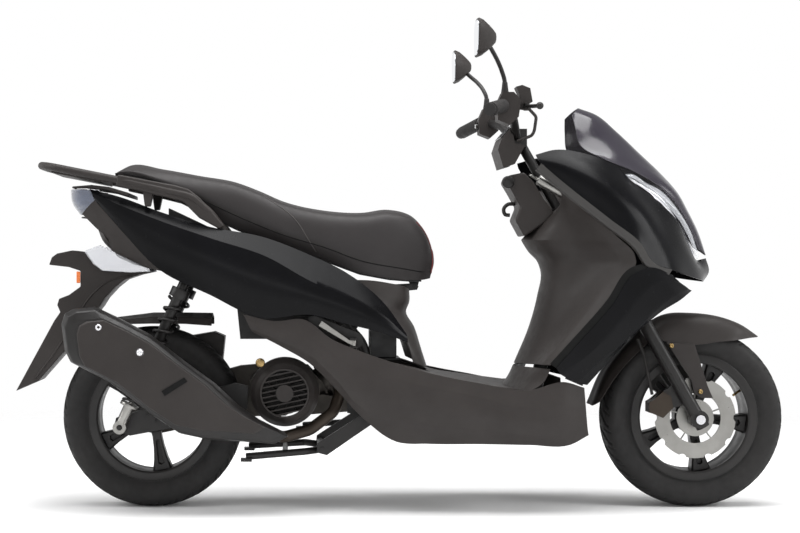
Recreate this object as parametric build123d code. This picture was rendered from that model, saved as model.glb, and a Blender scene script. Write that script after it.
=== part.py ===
"""Maxi-style moped scooter, modelled in millimetres.

Frame: +X forwards, +Y to the rider's left, +Z up. The origin lies on the ground, midway between the
rear tip of the number-plate bracket and the front of the front tyre.
"""

import math
import os

from build123d import *

# ---------------------------------------------------------------- driving dimensions
TYRE_R = 236.5  # 120/70-12 tyre, unloaded radius
PATCH = 2.5  # how far the ground flattens each tyre
AXLE_Z = TYRE_R - PATCH
FRONT_X = 766.0
WHEELBASE = 1412.0
REAR_X = FRONT_X - WHEELBASE
TYRE_HALF = 60.0
BEAD_R = 152.5
FLANGE_R = 166.0
RIM_IN_R = 141.0
RAKE = math.radians(29.5)
FORK_OFFSET = 35.0  # fork legs ahead of the steering axis
LEG_Y = 96.0
CRANK = (-300.0, 305.0)
PIVOT = (-120.0, 262.0)  # engine hanger
STAND = (-204.0, 156.0)
SEAT_HINGE = (40.0, 575.0)
SKIN = 3.0  # moulded cover thickness
BAR_Y = 350.0
UP = (-math.sin(RAKE), math.cos(RAKE))
AHEAD = (math.cos(RAKE), math.sin(RAKE))

os.makedirs("parts", exist_ok=True)


# ---------------------------------------------------------------- helpers
def save(name, *solids):
    """One node: one STEP file holding one or more solids."""
    found = [s for item in solids for s in item.solids()]
    shape = found[0] if len(found) == 1 else Compound(children=found)
    export_step(shape, f"parts/{name}.step")


def mirrored(shape):
    return shape.mirror(Plane.XZ)


def both(shape):
    return [shape, mirrored(shape)]


def fuse(*items):
    total = items[0]
    for item in items[1:]:
        total = total.fuse(item)
    return total


def prism(outline, y0, y1):
    """An (x, z) outline pushed from y0 to y1."""
    face = Face(Wire.make_polygon([(x, y0, z) for x, z in outline]))
    return Solid.extrude(face, Vector(0, y1 - y0, 0))


def slab(outline, z0, z1):
    """An (x, y) outline pushed from z0 to z1."""
    face = Face(Wire.make_polygon([(x, y, z0) for x, y in outline]))
    return Solid.extrude(face, Vector(0, 0, z1 - z0))


def box(x0, x1, y0, y1, z0, z1):
    return prism([(x0, z0), (x1, z0), (x1, z1), (x0, z1)], min(y0, y1), max(y0, y1))


def rod(start, end, radius, bore=0.0):
    """A round bar or tube between two points."""
    a, b = Vector(*start), Vector(*end)
    plane = Plane(origin=a, z_dir=(b - a).normalized())
    bar = Solid.make_cylinder(radius, (b - a).length, plane)
    if bore:
        bar = bar.cut(Solid.make_cylinder(bore, (b - a).length, plane))
    return bar


def disc(x, z, y0, y1, radius, bore=0.0):
    return rod((x, y0, z), (x, y1, z), radius, bore)


def turned(x, z, profile):
    """A closed (radius, y) profile turned about the Y-wise axis at (x, z)."""
    face = Face(Wire.make_polygon([(x + r, y, z) for r, y in profile]))
    return Solid.revolve(face, 360, Axis((x, 0, z), (0, 1, 0)))


def bent(points, radius, bends):
    """A round tube along straight runs joined by arcs."""
    path = FilletPolyline(*points, radius=bends)
    wire = path.wires()[0] if path.wires() else Wire(path.edges())
    start, heading = wire.position_at(0), wire.tangent_at(0)
    ring = Wire.make_circle(radius, Plane(origin=start, z_dir=heading))
    return Solid.sweep(Face(ring), wire)


def closed_by_triangles(triangles):
    faces = [Face(Wire.make_polygon(t)) for t in triangles]
    solid = Solid(Shell(faces))
    return solid if solid.volume > 0 else Solid(solid.wrapped.Reversed())


def ring_body(rings):
    """A closed solid through rings of points, each ring with the same count."""
    tris, n = [], len(rings[0])
    for low, high in zip(rings, rings[1:]):
        for i in range(n):
            j = (i + 1) % n
            tris += [(low[i], low[j], high[j]), (low[i], high[j], high[i])]
    for ring in (rings[0], rings[-1]):
        mid = tuple(sum(p[k] for p in ring) / n for k in range(3))
        tris += [(ring[i], ring[(i + 1) % n], mid) for i in range(n)]
    return closed_by_triangles(tris)


def skin(rows, towards, thickness=SKIN):
    """A moulded cover: a grid of outer points given thickness towards the point `towards`."""
    grid = [[Vector(*p) for p in row] for row in rows]
    rows_n, cols_n = len(grid), len(grid[0])
    inner = []
    for i in range(rows_n):
        line = []
        for j in range(cols_n):
            du = grid[min(i + 1, rows_n - 1)][j] - grid[max(i - 1, 0)][j]
            dv = grid[i][min(j + 1, cols_n - 1)] - grid[i][max(j - 1, 0)]
            normal = du.cross(dv).normalized()
            aim = Vector(*towards) - grid[i][j]
            if normal.dot(aim) < 0:
                normal = normal * -1
            line.append(grid[i][j] + normal * thickness)
        inner.append(line)
    tris = []

    def quad(a, b, c, d):
        tris.extend([(a, b, c), (a, c, d)])

    for layer in (grid, inner):
        for i in range(rows_n - 1):
            for j in range(cols_n - 1):
                quad(layer[i][j], layer[i + 1][j], layer[i + 1][j + 1], layer[i][j + 1])
    for i in range(rows_n - 1):
        for j in (0, cols_n - 1):
            quad(grid[i][j], grid[i + 1][j], inner[i + 1][j], inner[i][j])
    for j in range(cols_n - 1):
        for i in (0, rows_n - 1):
            quad(grid[i][j], grid[i][j + 1], inner[i][j + 1], inner[i][j])
    return closed_by_triangles(tris)


def across(row):
    """A half row from the right edge to the centre line, carried over to the left edge."""
    return row + [(x, -y, z) for x, y, z in reversed(row[:-1])]


def on_axis(s, y=0.0):
    """A point on the steering axis, s up from the axle's level."""
    x = FRONT_X - FORK_OFFSET * AHEAD[0] + s * UP[0]
    return (x, y, AXLE_Z - FORK_OFFSET * AHEAD[1] + s * UP[1])


def on_leg(s, side=-1):
    return (FRONT_X + s * UP[0], side * LEG_Y, AXLE_Z + s * UP[1])


# ---------------------------------------------------------------- wheels
def tyre(x):
    outer = [(155, -45), (167, -45), (180, -54), (200, -TYRE_HALF), (214, -57), (224, -49), (232, -30)]
    inner = [(155, -38), (170, -36), (182, -45), (200, -50), (212, -47), (222, -32), (226, 0)]
    outer += [(TYRE_R, 0)] + [(r, -y) for r, y in reversed(outer)]
    inner += [(r, -y) for r, y in reversed(inner[:-1])]
    ring = turned(x, AXLE_Z, outer + list(reversed(inner)))
    return ring.cut(box(x - 80, x + 80, -70, 70, -20, 0))


def around_axle(outline, x, c, s):
    """A (radial, sideways) outline turned about the axle at x by the angle with cosine c and sine s."""
    return [(x + r * c - t * s, AXLE_Z + r * s + t * c) for r, t in outline]


def rim(x, hub_right, hub_left, bore):
    """Cast rim: barrel with flanges, hub and five forked spokes."""
    barrel = turned(x, AXLE_Z, [
        (RIM_IN_R, -52), (FLANGE_R, -52), (FLANGE_R, -46), (154.5, -46), (BEAD_R, -30), (BEAD_R, 30),
        (154.5, 46), (FLANGE_R, 46), (FLANGE_R, 52), (RIM_IN_R, 52),
    ])
    wheel = barrel.fuse(disc(x, AXLE_Z, -hub_right, hub_left, 40))
    for k in range(5):
        turn = math.radians(-8 + 72 * k)
        c, s = math.cos(turn), math.sin(turn)
        arm = [(25, -14), (75, -13), (146, -27), (146, 27), (75, 13), (25, 14)]
        slot = [(62, -4), (118, -5), (118, 5), (62, 4)]
        wheel = wheel.fuse(prism(around_axle(arm, x, c, s), -17, 17))
        wheel = wheel.cut(prism(around_axle(slot, x, c, s), -30, 30))
    return wheel.cut(disc(x, AXLE_Z, -200, 200, bore))


def wave_disc(x, y0, y1, outer, inner, carrier_bore):
    ring = disc(x, AXLE_Z, y0, y1, outer, inner)
    for k in range(10):
        a = math.radians(36 * k)
        bite = (x + (outer + 6) * math.cos(a), AXLE_Z + (outer + 6) * math.sin(a))
        ring = ring.cut(disc(*bite, y0 - 1, y1 + 1, 12))
    hub = disc(x, AXLE_Z, y0, y1, 48, carrier_bore)
    middle = (y0 + y1) / 2
    for k in range(5):
        a = math.radians(20 + 72 * k)
        c, s = math.cos(a), math.sin(a)
        reach = inner + 4
        arm = rod((x + 40 * c, middle, AXLE_Z + 40 * s), (x + reach * c, middle, AXLE_Z + reach * s), (y1 - y0) / 2)
        hub = hub.fuse(arm)
    return ring.fuse(hub)


AXLE_R = 7.5
save("front_tyre", tyre(FRONT_X))
save("front_rim", rim(FRONT_X, 56, 60, AXLE_R + 0.05))
save("brake_disc", wave_disc(FRONT_X, -62, -58, 105, 66, AXLE_R + 12))
save("rear_tyre", tyre(REAR_X))
rear_rim = rim(REAR_X, 30, 48, AXLE_R + 1)
save("rear_rim", rear_rim.fuse(disc(REAR_X, AXLE_Z, -48, -22, 68, AXLE_R + 1)))

# ---------------------------------------------------------------- fork and front end
sliders = []
for side in (-1, 1):
    slider = rod(on_leg(-24, side), on_leg(300, side), 18)
    slider = slider.fuse(disc(FRONT_X, AXLE_Z, side * (LEG_Y - 16), side * (LEG_Y + 16), 23))
    slider = slider.cut(rod(on_leg(60, side), on_leg(301, side), 14.05))
    sliders.append(slider.cut(disc(FRONT_X, AXLE_Z, side * 70, side * 125, AXLE_R + 0.05)))
lug = prism([(700, 262), (728, 268), (700, 318), (676, 306)], -90, -72)
sliders[0] = sliders[0].fuse(lug)
save("fork_sliders", *sliders)
spacers = [disc(FRONT_X, AXLE_Z, s * 63, s * (LEG_Y - 18.5), 12, AXLE_R + 0.05) for s in (-1, 1)]
heads = [disc(FRONT_X, AXLE_Z, s * (LEG_Y + 18.5), s * (LEG_Y + 27), 12, AXLE_R - 0.5) for s in (-1, 1)]
save("front_axle", *spacers, fuse(disc(FRONT_X, AXLE_Z, -LEG_Y - 27, LEG_Y + 27, AXLE_R), *heads))

caliper = prism([(652, 246), (676, 236), (702, 262), (697, 292), (676, 304), (648, 280)], -92, -42)
caliper = caliper.cut(prism([(600, 200), (720, 200), (720, 330), (600, 330)], -66, -54))
bridge = prism([(640, 250), (653, 246), (650, 282), (640, 276)], -92, -42)
caliper = caliper.fuse(bridge).cut(disc(FRONT_X, AXLE_Z, -66, -54, 107)).cut(lug)
caliper = caliper.cut(rod(on_leg(-24), on_leg(300), 19))
save("brake_caliper", caliper)

fender_rows = [
    [(884, -60, 437), (912, -40, 440), (944, 0, 441)],
    [(860, -70, 434), (888, -50, 463), (900, 0, 470)],
    [(822, -73, 431), (843, -55, 480), (850, 0, 490)],
    [(768, -74, 424), (767, -58, 488), (767, 0, 502)],
    [(705, -74, 430), (700, -56, 482), (700, 0, 498)],
    [(650, -73, 432), (650, -56, 456), (650, 0, 470)],
    [(612, -71, 400), (601, -58, 412), (598, 0, 421)],
    [(562, -70, 345), (548, -58, 347), (542, 0, 350)],
    [(520, -60, 276), (509, -52, 268), (505, 0, 263)],
]
fender = skin([across(r) for r in fender_rows], (FRONT_X, 0, AXLE_Z))
brace = prism([(686, 430), (760, 424), (782, 357), (792, 316), (806, 288), (763, 290), (757, 300)], -80, -76)
save("front_fender", fender, *both(brace))

stem = fuse(
    rod(on_axis(440), on_axis(848), 12.5),
    *[rod(on_leg(200, s), on_leg(470, s), 14) for s in (-1, 1)],
)
yoke_low, yoke_high = on_axis(418), on_axis(448)
yoke = prism([
    (yoke_low[0] - 24, yoke_low[2] - 14), (yoke_low[0] + 48, yoke_low[2] + 27),
    (yoke_high[0] + 48, yoke_high[2] + 27), (yoke_high[0] - 24, yoke_high[2] - 14)], -LEG_Y - 22, LEG_Y + 22)
bearings = (rod(on_axis(462), on_axis(472), 24, 13), rod(on_axis(640), on_axis(650), 24, 13))

BAR = [(201, -BAR_Y, 1008), (250, -232, 1030), (286, -120, 1006), (303, -50, 968)]
bar_path = BAR + [(x, -y, z) for x, y, z in reversed(BAR)]
BAR_R = 11.0
BAR_BENDS = (60, 60, 40, 40, 60, 60)
handlebar = bent(bar_path, BAR_R, BAR_BENDS)
clamp = box(284, 334, -26, 26, 940, 988).cut(rod(on_axis(800), on_axis(990), 12.6))
clamp = clamp.cut(rod((303, -60, 968), (303, 60, 968), 11.05))


def along_bar(y):
    """The point on the bar's outer straight run at lateral place y, right side."""
    (x0, y0, z0), (x1, y1, z1) = BAR[0], BAR[1]
    t = (y - y0) / (y1 - y0)
    return (x0 + t * (x1 - x0), y, z0 + t * (z1 - z0))


def mirror_point(p):
    return (p[0], -p[1], p[2])


grip = rod(along_bar(-BAR_Y + 1), along_bar(-250), 17, BAR_R + 0.3)
weight = rod(along_bar(-BAR_Y - 9), along_bar(-BAR_Y), 15)
save("throttle_grip", grip)
save("left_grip", mirrored(grip))
save("handlebar", handlebar, *both(weight))

housing = prism([(232, 992), (262, 980), (284, 1000), (290, 1042), (272, 1062), (244, 1062), (230, 1030)], -238, -182)
housing = housing.cut(bent(bar_path, BAR_R + 0.05, BAR_BENDS))
switches = [
    housing.cut(box(222, 240, -219, -203, 1006, 1022)),
    mirrored(housing).cut(box(222, 240, 193, 231, 1004, 1026)),
]
reservoir = prism([(293, 1036), (322, 1040), (316, 1074), (296, 1082), (281, 1078), (288, 1062)], -214, -168)
perch = prism([(292, 1022), (312, 1020), (314, 1035), (292, 1035)], -210, -190)
neck = prism([(293, 1034), (314, 1034), (314, 1041), (293, 1041)], -214, -190)
ears = [box(300, 312, -224, -206, 1034.4, 1038), box(300, 312, -224, -206, 1018, 1021.6)]
LEVER_PIN = (306, -218)
pin = rod((*LEVER_PIN, 1018), (*LEVER_PIN, 1038), 2.5)
cable = bent([(311, -196, 1028), (334, -194, 1004), (330, -176, 960), (300, -108, 950)], 4, (14, 30))
save("bar_controls", *switches, *both(fuse(reservoir, neck, perch, *ears, pin, cable)))
lever = bent([(306, -218, 1028), (318, -240, 1026), (322, -290, 1022), (322, -334, 1018)], 5, (12, 60))
lever = lever.fuse(rod((*LEVER_PIN, 1022), (*LEVER_PIN, 1034), 6)).cut(rod((*LEVER_PIN, 1000), (*LEVER_PIN, 1060), 2.9))
lever = lever.fuse(Solid.make_sphere(9, Plane(origin=(322, -336, 1018)), angle1=-90, angle2=90))
save("brake_lever_right", lever)
save("brake_lever_left", mirrored(lever))
save("starter_button", box(224, 231, -217, -205, 1008, 1020))
save("horn_button", box(224, 231, 195, 205, 1007, 1017))
save("turn_switch", box(224, 231, 214, 228, 1010, 1020))

mirror_stem = bent([(254, -200, 1063), (252, -202, 1095), (238, -225, 1128), (222, -258, 1150)], 5, (25, 40))
collar = rod((254, -200, 1063), (254, -200, 1088), 9)


def mirror_head(side):
    back = [(y, z) for y, z in [(-42, -30), (-30, -44), (36, -40), (62, 12), (52, 42), (-20, 45), (-46, 16)]]
    middle = (188, side * -292, 1188)
    rear = [(middle[0] - 14, middle[1] + side * y * -1, middle[2] + z) for y, z in back]
    front = [(middle[0] + 26, middle[1] + side * y * -0.55, middle[2] + z * 0.55) for y, z in back]
    glass = [(middle[0] - 15, middle[1] + side * y * -0.92, middle[2] + z * 0.92) for y, z in back]
    pane = [(middle[0] - 17, middle[1] + side * y * -0.92, middle[2] + z * 0.92) for y, z in back]
    return ring_body([rear, front]), ring_body([glass, pane])


for side, name in ((1, "right"), (-1, "left")):
    shell, glass = mirror_head(side)
    neck = rod((220, side * -262, 1154), (208, side * -280, 1168), 8)
    stalk = mirror_stem.fuse(collar)
    save(f"mirror_{name}", fuse(shell, neck, stalk if side > 0 else mirrored(stalk)), glass)

meter = prism([(262, 960), (252, 930), (266, 884), (296, 893), (322, 940), (312, 944), (296, 946), (288, 990)], -74, 74)
meter = meter.cut(rod(on_axis(700), on_axis(1000), 14)).cut(box(276, 340, -30, 30, 880, 1000))
save("instrument_cluster", meter.cut(bent(bar_path, BAR_R + 2, BAR_BENDS)))

# ---------------------------------------------------------------- front covers
front_fairing_rows = [
    [(335, -176, 908), (339, -184, 897), (346, -190, 886)],
    [(385, -165, 921), (405, -200, 878), (420, -212, 820)],
    [(464, -150, 912), (492, -206, 840), (513, -224, 745)],
    [(543, -137, 882), (562, -206, 790), (587, -230, 685)],
    [(583, -130, 846), (606, -200, 753), (620, -226, 637)],
    [(638, -113, 808), (661, -176, 703), (672, -205, 618)],
    [(716, -86, 739), (720, -130, 670), (726, -150, 603)],
    [(773, -46, 640), (775, -72, 618), (775, -84, 592)],
    [(806, 0, 648), (814, 0, 614), (799, 0, 588)],
]
fairing_mirror = [[(x, -y, z) for x, y, z in row] for row in reversed(front_fairing_rows[:-1])]
save("front_fairing", skin(front_fairing_rows + fairing_mirror, (560, 0, 700)))

lower_fairing_rows = [
    [(378, -226, 374), (391, -224, 357), (429, -205, 336), (462, -186, 329)],
    [(437, -232, 440), (463, -228, 412), (487, -206, 384), (507, -190, 380)],
    [(516, -236, 530), (542, -230, 495), (572, -208, 459), (587, -196, 464)],
    [(578, -234, 614), (608, -226, 577), (643, -200, 527), (648, -190, 514)],
    [(617, -226, 625), (645, -214, 597), (681, -188, 554), (701, -170, 543)],
    [(670, -204, 609), (696, -182, 589), (726, -150, 571), (738, -132, 566)],
]
lower_fairing = skin(lower_fairing_rows, (430, 0, 600))

screen_rows = [
    [(446, -62, 1020), (460, -38, 1034), (470, 0, 1042)],
    [(450, -84, 985), (500, -50, 1012), (518, 0, 1024)],
    [(459, -105, 938), (535, -65, 965), (570, 0, 981)],
    [(520, -127, 899), (600, -78, 905), (632, 0, 922)],
    [(598, -121, 868), (660, -74, 862), (690, 0, 866)],
    [(669, -92, 829), (715, -60, 815), (728, 0, 822)],
    [(711, -74, 790), (745, -45, 772), (757, 0, 772)],
    [(743, -55, 746), (772, -35, 722), (785, 0, 716)],
    [(780, -24, 676), (795, -14, 666), (806, 0, 656)],
]
save("windscreen", skin([across(r) for r in screen_rows], (480, 0, 800), 2.5))

lens_rows = [
    [(570, -127, 861), (574, -129, 859), (576, -131, 857)],
    [(589, -121, 862), (592, -127, 857), (594, -128, 850)],
    [(624, -111, 842), (634, -118, 829), (637, -113, 818)],
    [(667, -93, 822), (677, -101, 801), (680, -98, 787)],
    [(709, -76, 783), (717, -86, 763), (717, -83, 749)],
    [(739, -58, 740), (750, -68, 717), (748, -64, 702)],
    [(774, -30, 672), (778, -40, 655), (775, -42, 646)],
]
lens = skin(lens_rows, (560, 0, 700), 2.0)
save("headlight_lenses", *both(lens))


def drawn_in(rows, amount, depth):
    return [[(x - depth, y + amount, z) for x, y, z in row] for row in rows]


reflector = skin(drawn_in(lens_rows[2:6], 9, 34), (500, 0, 700), 2.0)
save("headlight_bowls", *both(reflector))

leg_rows = [
    [(366, -215, 379), (345, -140, 377), (318, -60, 374), (306, 0, 372)],
    [(436, -221, 455), (410, -140, 458), (362, -70, 462), (345, 0, 465)],
    [(503, -224, 536), (465, -145, 538), (395, -75, 545), (368, 0, 550)],
    [(563, -223, 620), (500, -150, 618), (408, -80, 618), (377, 0, 619)],
    [(592, -214, 642), (505, -150, 650), (390, -85, 655), (352, 0, 658)],
    [(538, -212, 700), (465, -150, 698), (365, -85, 695), (325, 0, 697)],
    [(480, -208, 752), (440, -150, 745), (385, -90, 738), (365, 0, 735)],
    [(419, -199, 805), (415, -150, 798), (405, -95, 775), (408, 0, 772)],
    [(384, -188, 838), (400, -150, 832), (440, -100, 815), (452, 0, 812)],
]
leg_shield = skin([across(r) for r in leg_rows], (560, 0, 700))
leg_shield = leg_shield.cut(rod(on_axis(560), on_axis(760), 33))
LOCK = ((420, -118, 812), (350, -118, 850))
leg_shield = leg_shield.cut(rod((460, -118, 790.3), LOCK[1], 15))
save("leg_shield", leg_shield)
lock = rod(*LOCK, 14)
lock_dir = (Vector(*LOCK[1]) - Vector(*LOCK[0])).normalized()


def along_lock(d):
    p = Vector(*LOCK[1]) + lock_dir * d
    return (p.X, p.Y, p.Z)


save("ignition_lock", lock.cut(rod(along_lock(-12), along_lock(1), 5)))
key = rod(along_lock(-11), along_lock(2), 4).fuse(rod(along_lock(1), along_lock(22), 3.5))
plane = Plane(origin=Vector(*along_lock(16)), x_dir=(0, 1, 0), z_dir=(lock_dir.Z, 0, -lock_dir.X))
save("ignition_key", key.fuse(Solid.make_cylinder(11, 4, plane.offset(-2))))

liner = prism([(459, 322), (462, 322), (480, 420), (480, 520), (477, 520), (477, 420)], -130, 130)

# ---------------------------------------------------------------- floor and lower covers
floor_rows = [
    [(-25, -202, 383), (25, -176, 370), (66, -125, 356), (72, 0, 352)],
    [(62, -205, 351), (90, -176, 347), (100, -120, 345), (102, 0, 345)],
    [(190, -207, 329), (190, -176, 329), (190, -120, 329), (190, 0, 329)],
    [(318, -207, 312), (305, -176, 312), (292, -120, 312), (278, 0, 312)],
    [(350, -205, 333), (332, -176, 336), (314, -120, 338), (292, 0, 338)],
    [(368, -208, 369), (350, -176, 369), (334, -120, 368), (304, 0, 366)],
]
save("floorboard", skin([across(r) for r in floor_rows], (150, 0, -600)))

lower_rows = [
    [(-405, -186, 506), (-397, -189, 493), (-392, -190, 483), (-387, -189, 473), (-379, -186, 463)],
    [(-324, -194, 489), (-316, -200, 469), (-311, -202, 454), (-306, -200, 439), (-301, -192, 423)],
    [(-253, -200, 494), (-246, -208, 454), (-243, -210, 426), (-241, -208, 409), (-238, -196, 386)],
    [(-181, -204, 444), (-176, -214, 404), (-173, -216, 369), (-171, -212, 346), (-168, -196, 318)],
    [(-110, -206, 414), (-111, -218, 359), (-111, -220, 307), (-106, -214, 276), (-100, -196, 245)],
    [(-23, -208, 384), (-21, -221, 342), (-21, -223, 290), (-21, -214, 244), (-17, -188, 186)],
    [(65, -212, 359), (64, -224, 322), (64, -226, 275), (64, -216, 232), (67, -188, 181)],
    [(190, -214, 334), (188, -226, 297), (188, -228, 253), (189, -218, 219), (192, -190, 181)],
    [(315, -214, 317), (313, -226, 270), (313, -226, 230), (315, -216, 207), (318, -190, 179)],
    [(399, -206, 337), (397, -216, 277), (398, -214, 229), (399, -206, 203), (420, -182, 178)],
    [(455, -186, 321), (458, -190, 274), (461, -190, 237), (464, -186, 216), (468, -176, 202)],
]
lower_cover = skin(lower_rows, (0, 0, 330))
save("lower_covers", *both(lower_cover), *both(lower_fairing))
belly = prism([(0, 201), (60, 190), (408, 190), (448, 226), (448, 300), (445, 300), (445, 228),
               (407, 193), (60, 193), (0, 204)], -172, 172)
save("belly_pan", belly, liner)

seat_front_rows = [
    [(-150, -146, 590), (-60, -138, 588), (5, -106, 576), (20, 0, 556)],
    [(-110, -156, 560), (-55, -146, 545), (6, -108, 540), (20, 0, 535)],
    [(-60, -160, 530), (-40, -148, 520), (0, -104, 514), (12, 0, 510)],
    [(-20, -164, 480), (-10, -150, 475), (22, -104, 470), (34, 0, 470)],
    [(6, -164, 440), (16, -150, 425), (44, -108, 409), (52, 0, 409)],
    [(26, -162, 382), (40, -140, 376), (56, -112, 370), (64, 0, 368)],
]
save("under_seat_cover", skin([across(r) for r in seat_front_rows], (-150, 0, 500)))

side_rows = [
    [(-803, -105, 825), (-797, -112, 817), (-792, -112, 809), (-785, -108, 799)],
    [(-722, -118, 804), (-710, -134, 778), (-710, -137, 747), (-709, -125, 711)],
    [(-618, -135, 765), (-609, -156, 739), (-611, -162, 683), (-618, -140, 619)],
    [(-490, -150, 726), (-481, -182, 695), (-483, -192, 627), (-489, -165, 556)],
    [(-357, -160, 701), (-349, -200, 652), (-354, -212, 577), (-357, -190, 498)],
    [(-236, -165, 655), (-231, -208, 587), (-231, -215, 544), (-231, -205, 506)],
    [(-147, -170, 612), (-148, -206, 552), (-148, -212, 519), (-148, -205, 484)],
    [(-54, -172, 538), (-50, -196, 499), (-50, -200, 476), (-50, -196, 459)],
    [(6, -174, 456), (8, -180, 449), (10, -182, 442), (12, -180, 435)],
]
side_panel = skin(side_rows, (-350, 0, 600))
save("side_panels", *both(side_panel))

# ---------------------------------------------------------------- tail
light_rows = [
    [(-792, -100, 822), (-790, -101, 800), (-772, -100, 772)],
    [(-826, -86, 826), (-822, -86, 795), (-804, -84, 765)],
    [(-852, -50, 828), (-848, -50, 795), (-828, -50, 764)],
    [(-862, 0, 829), (-858, 0, 795), (-838, 0, 764)],
]
light_mirror = [[(x, -y, z) for x, y, z in row] for row in reversed(light_rows[:-1])]
tail_light = skin(light_rows + light_mirror, (-700, 0, 790), 2.5)
tail_top = ring_body([
    [(-856, -44, 832), (-856, 44, 832), (-856, 44, 836), (-856, -44, 836)],
    [(-800, -88, 829), (-800, 88, 829), (-800, 88, 838), (-800, -88, 838)],
    [(-752, -104, 822), (-752, 104, 822), (-752, 104, 832), (-752, -104, 832)],
])
undertail_rows = [
    [(-828, -48, 757), (-834, -20, 757), (-836, 0, 757)],
    [(-790, -84, 752), (-802, -40, 752), (-804, 0, 752)],
    [(-752, -92, 690), (-768, -44, 690), (-772, 0, 690)],
    [(-712, -100, 660), (-722, -50, 655), (-724, 0, 655)],
    [(-640, -112, 632), (-640, -56, 622), (-640, 0, 622)],
]
undertail = skin([across(r) for r in undertail_rows], (-650, 0, 800))
turn_lens = ring_body([
    [(-816, -92, 668), (-777, -96, 683), (-744, -98, 668), (-745, -98, 640), (-785, -94, 640)],
    [(-816, -100, 666), (-777, -112, 681), (-704, -118, 650), (-700, -116, 620), (-785, -106, 628)],
])
save("rear_lights", tail_light, *both(turn_lens))
holder = prism([(-888, 632), (-842, 655), (-806, 655), (-760, 640), (-742, 612), (-770, 560), (-800, 520),
                (-862, 430), (-945, 310), (-1001, 290), (-1002, 303), (-930, 430), (-884, 508), (-893, 543),
                (-860, 560)], -52, 52)
holder_hollow = [(-873, 620), (-760, 620), (-768, 585), (-862, 440), (-948, 322), (-980, 306), (-862, 512)]
holder = holder.cut(prism(holder_hollow, -46, 46))
save("tail_covers", tail_top, undertail, holder)
rail_path = [(-450, -132, 712), (-488, -148, 762), (-538, -152, 806), (-700, -150, 842), (-905, -120, 884),
             (-932, -60, 889), (-936, 0, 890)]
rail_full = rail_path + [(x, -y, z) for x, y, z in reversed(rail_path[:-1])]
rail = bent(rail_full, 10, (18, 60, 120, 60, 22, 200, 22, 60, 120, 60, 18))
deck = ring_body([
    [(-900, -108, 868), (-900, 108, 868), (-900, 108, 878), (-900, -108, 878)],
    [(-770, -128, 843), (-770, 128, 843), (-770, 128, 853), (-770, -128, 853)],
])
struts = [rod((-835, s * 129, 866), (-835, s * 100, 864), 7) for s in (-1, 1)]
feet = [rod((-450, s * 132, 712), (-450, s * 121, 688), 8) for s in (-1, 1)]
save("grab_rail", fuse(rail, deck, *struts, *feet))

# ---------------------------------------------------------------- chassis
frame_parts = [
    rod(on_axis(460), on_axis(652), 30),
    bent([(432, 0, 745), (415, 0, 640), (404, 0, 530), (384, 0, 420), (352, 0, 262)], 18, 120),
    rod((352, -110, 256), (352, 110, 256), 15),
    rod((-72, -110, 244), (-72, 110, 244), 13),
    rod((-190, -118, 512), (-190, -97, 512), 9),
    rod((-190, 97, 512), (-190, 118, 512), 9),
    rod((-652, -106, 752), (-652, 106, 752), 10),
]
for s in (-1, 1):
    frame_parts.append(bent([
        (352, s * 110, 256), (-66, s * 110, 240), (-100, s * 116, 430), (-236, s * 126, 572),
        (-420, s * 118, 662), (-690, s * 106, 768)], 14, (45, 80, 120, 160)))
    frame_parts.append(prism([(-138, 246), (-64, 232), (-64, 256), (-104, 280), (-138, 278)], s * 47, s * 55))
    frame_parts.append(prism([(-92, 252), (-60, 232), (-192, 141), (-218, 148), (-216, 172)], s * 93, s * 101))
    frame_parts.append(prism([(-536, 716), (-574, 730), (-568, 582), (-538, 582)], s * 100, s * 106))
    frame_parts.append(disc(-553, 594, s * 100, s * 140, 6))
frame = fuse(*frame_parts)
frame = frame.cut(rod(on_axis(455), on_axis(660), 24.05))
frame = frame.cut(disc(*PIVOT, -60, 60, 7)).cut(disc(*STAND, -110, 110, 6))
seat_bracket = prism([(-12, 560), (46, 566), (50, 575), (44, 583), (-12, 580)], -22, 22)
seat_bracket = seat_bracket.cut(prism([(24, 550), (60, 550), (60, 600), (24, 600)], -16, 16))
seat_bracket = seat_bracket.fuse(prism([(-12, 580), (-12, 545), (-20, 545), (-20, 580)], -100, 100))
for s in (-1, 1):
    seat_bracket = seat_bracket.fuse(rod((-16, s * 96, 560), (-150, s * 119, 480), 8))
frame = frame.fuse(seat_bracket).cut(disc(*SEAT_HINGE, -40, 40, 4))
pins = [disc(*SEAT_HINGE, -25, 25, 3.95), disc(*PIVOT, -62, 62, 6.95), disc(*STAND, -106, 106, 5.95)]

bucket_out = prism([(-600, 606), (-432, 606), (-415, 440), (-136, 440), (-112, 470), (-98, 586), (-200, 622),
                    (-312, 650), (-460, 712), (-600, 778)], -92, 92)
bucket_in = prism([(-597, 609), (-430, 609), (-412, 443), (-138, 443), (-115, 471), (-100, 700), (-597, 900)], -89, 89)
save("storage_bucket", bucket_out.cut(bucket_in))
tank = slab([(-30, -90), (300, -90), (318, -70), (318, 70), (300, 90), (-30, 90)], 213, 296)
save("fuel_tank", tank.fuse(rod((200, 0, 290), (200, 0, 318), 26)))
save("battery", box(-78, -10, -60, 60, 390, 480))
tray = box(-86, 0, -66, 66, 384, 389)
for s in (-1, 1):
    tray = tray.fuse(box(-86, -40, s * 62, s * 101, 384, 389))

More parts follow.
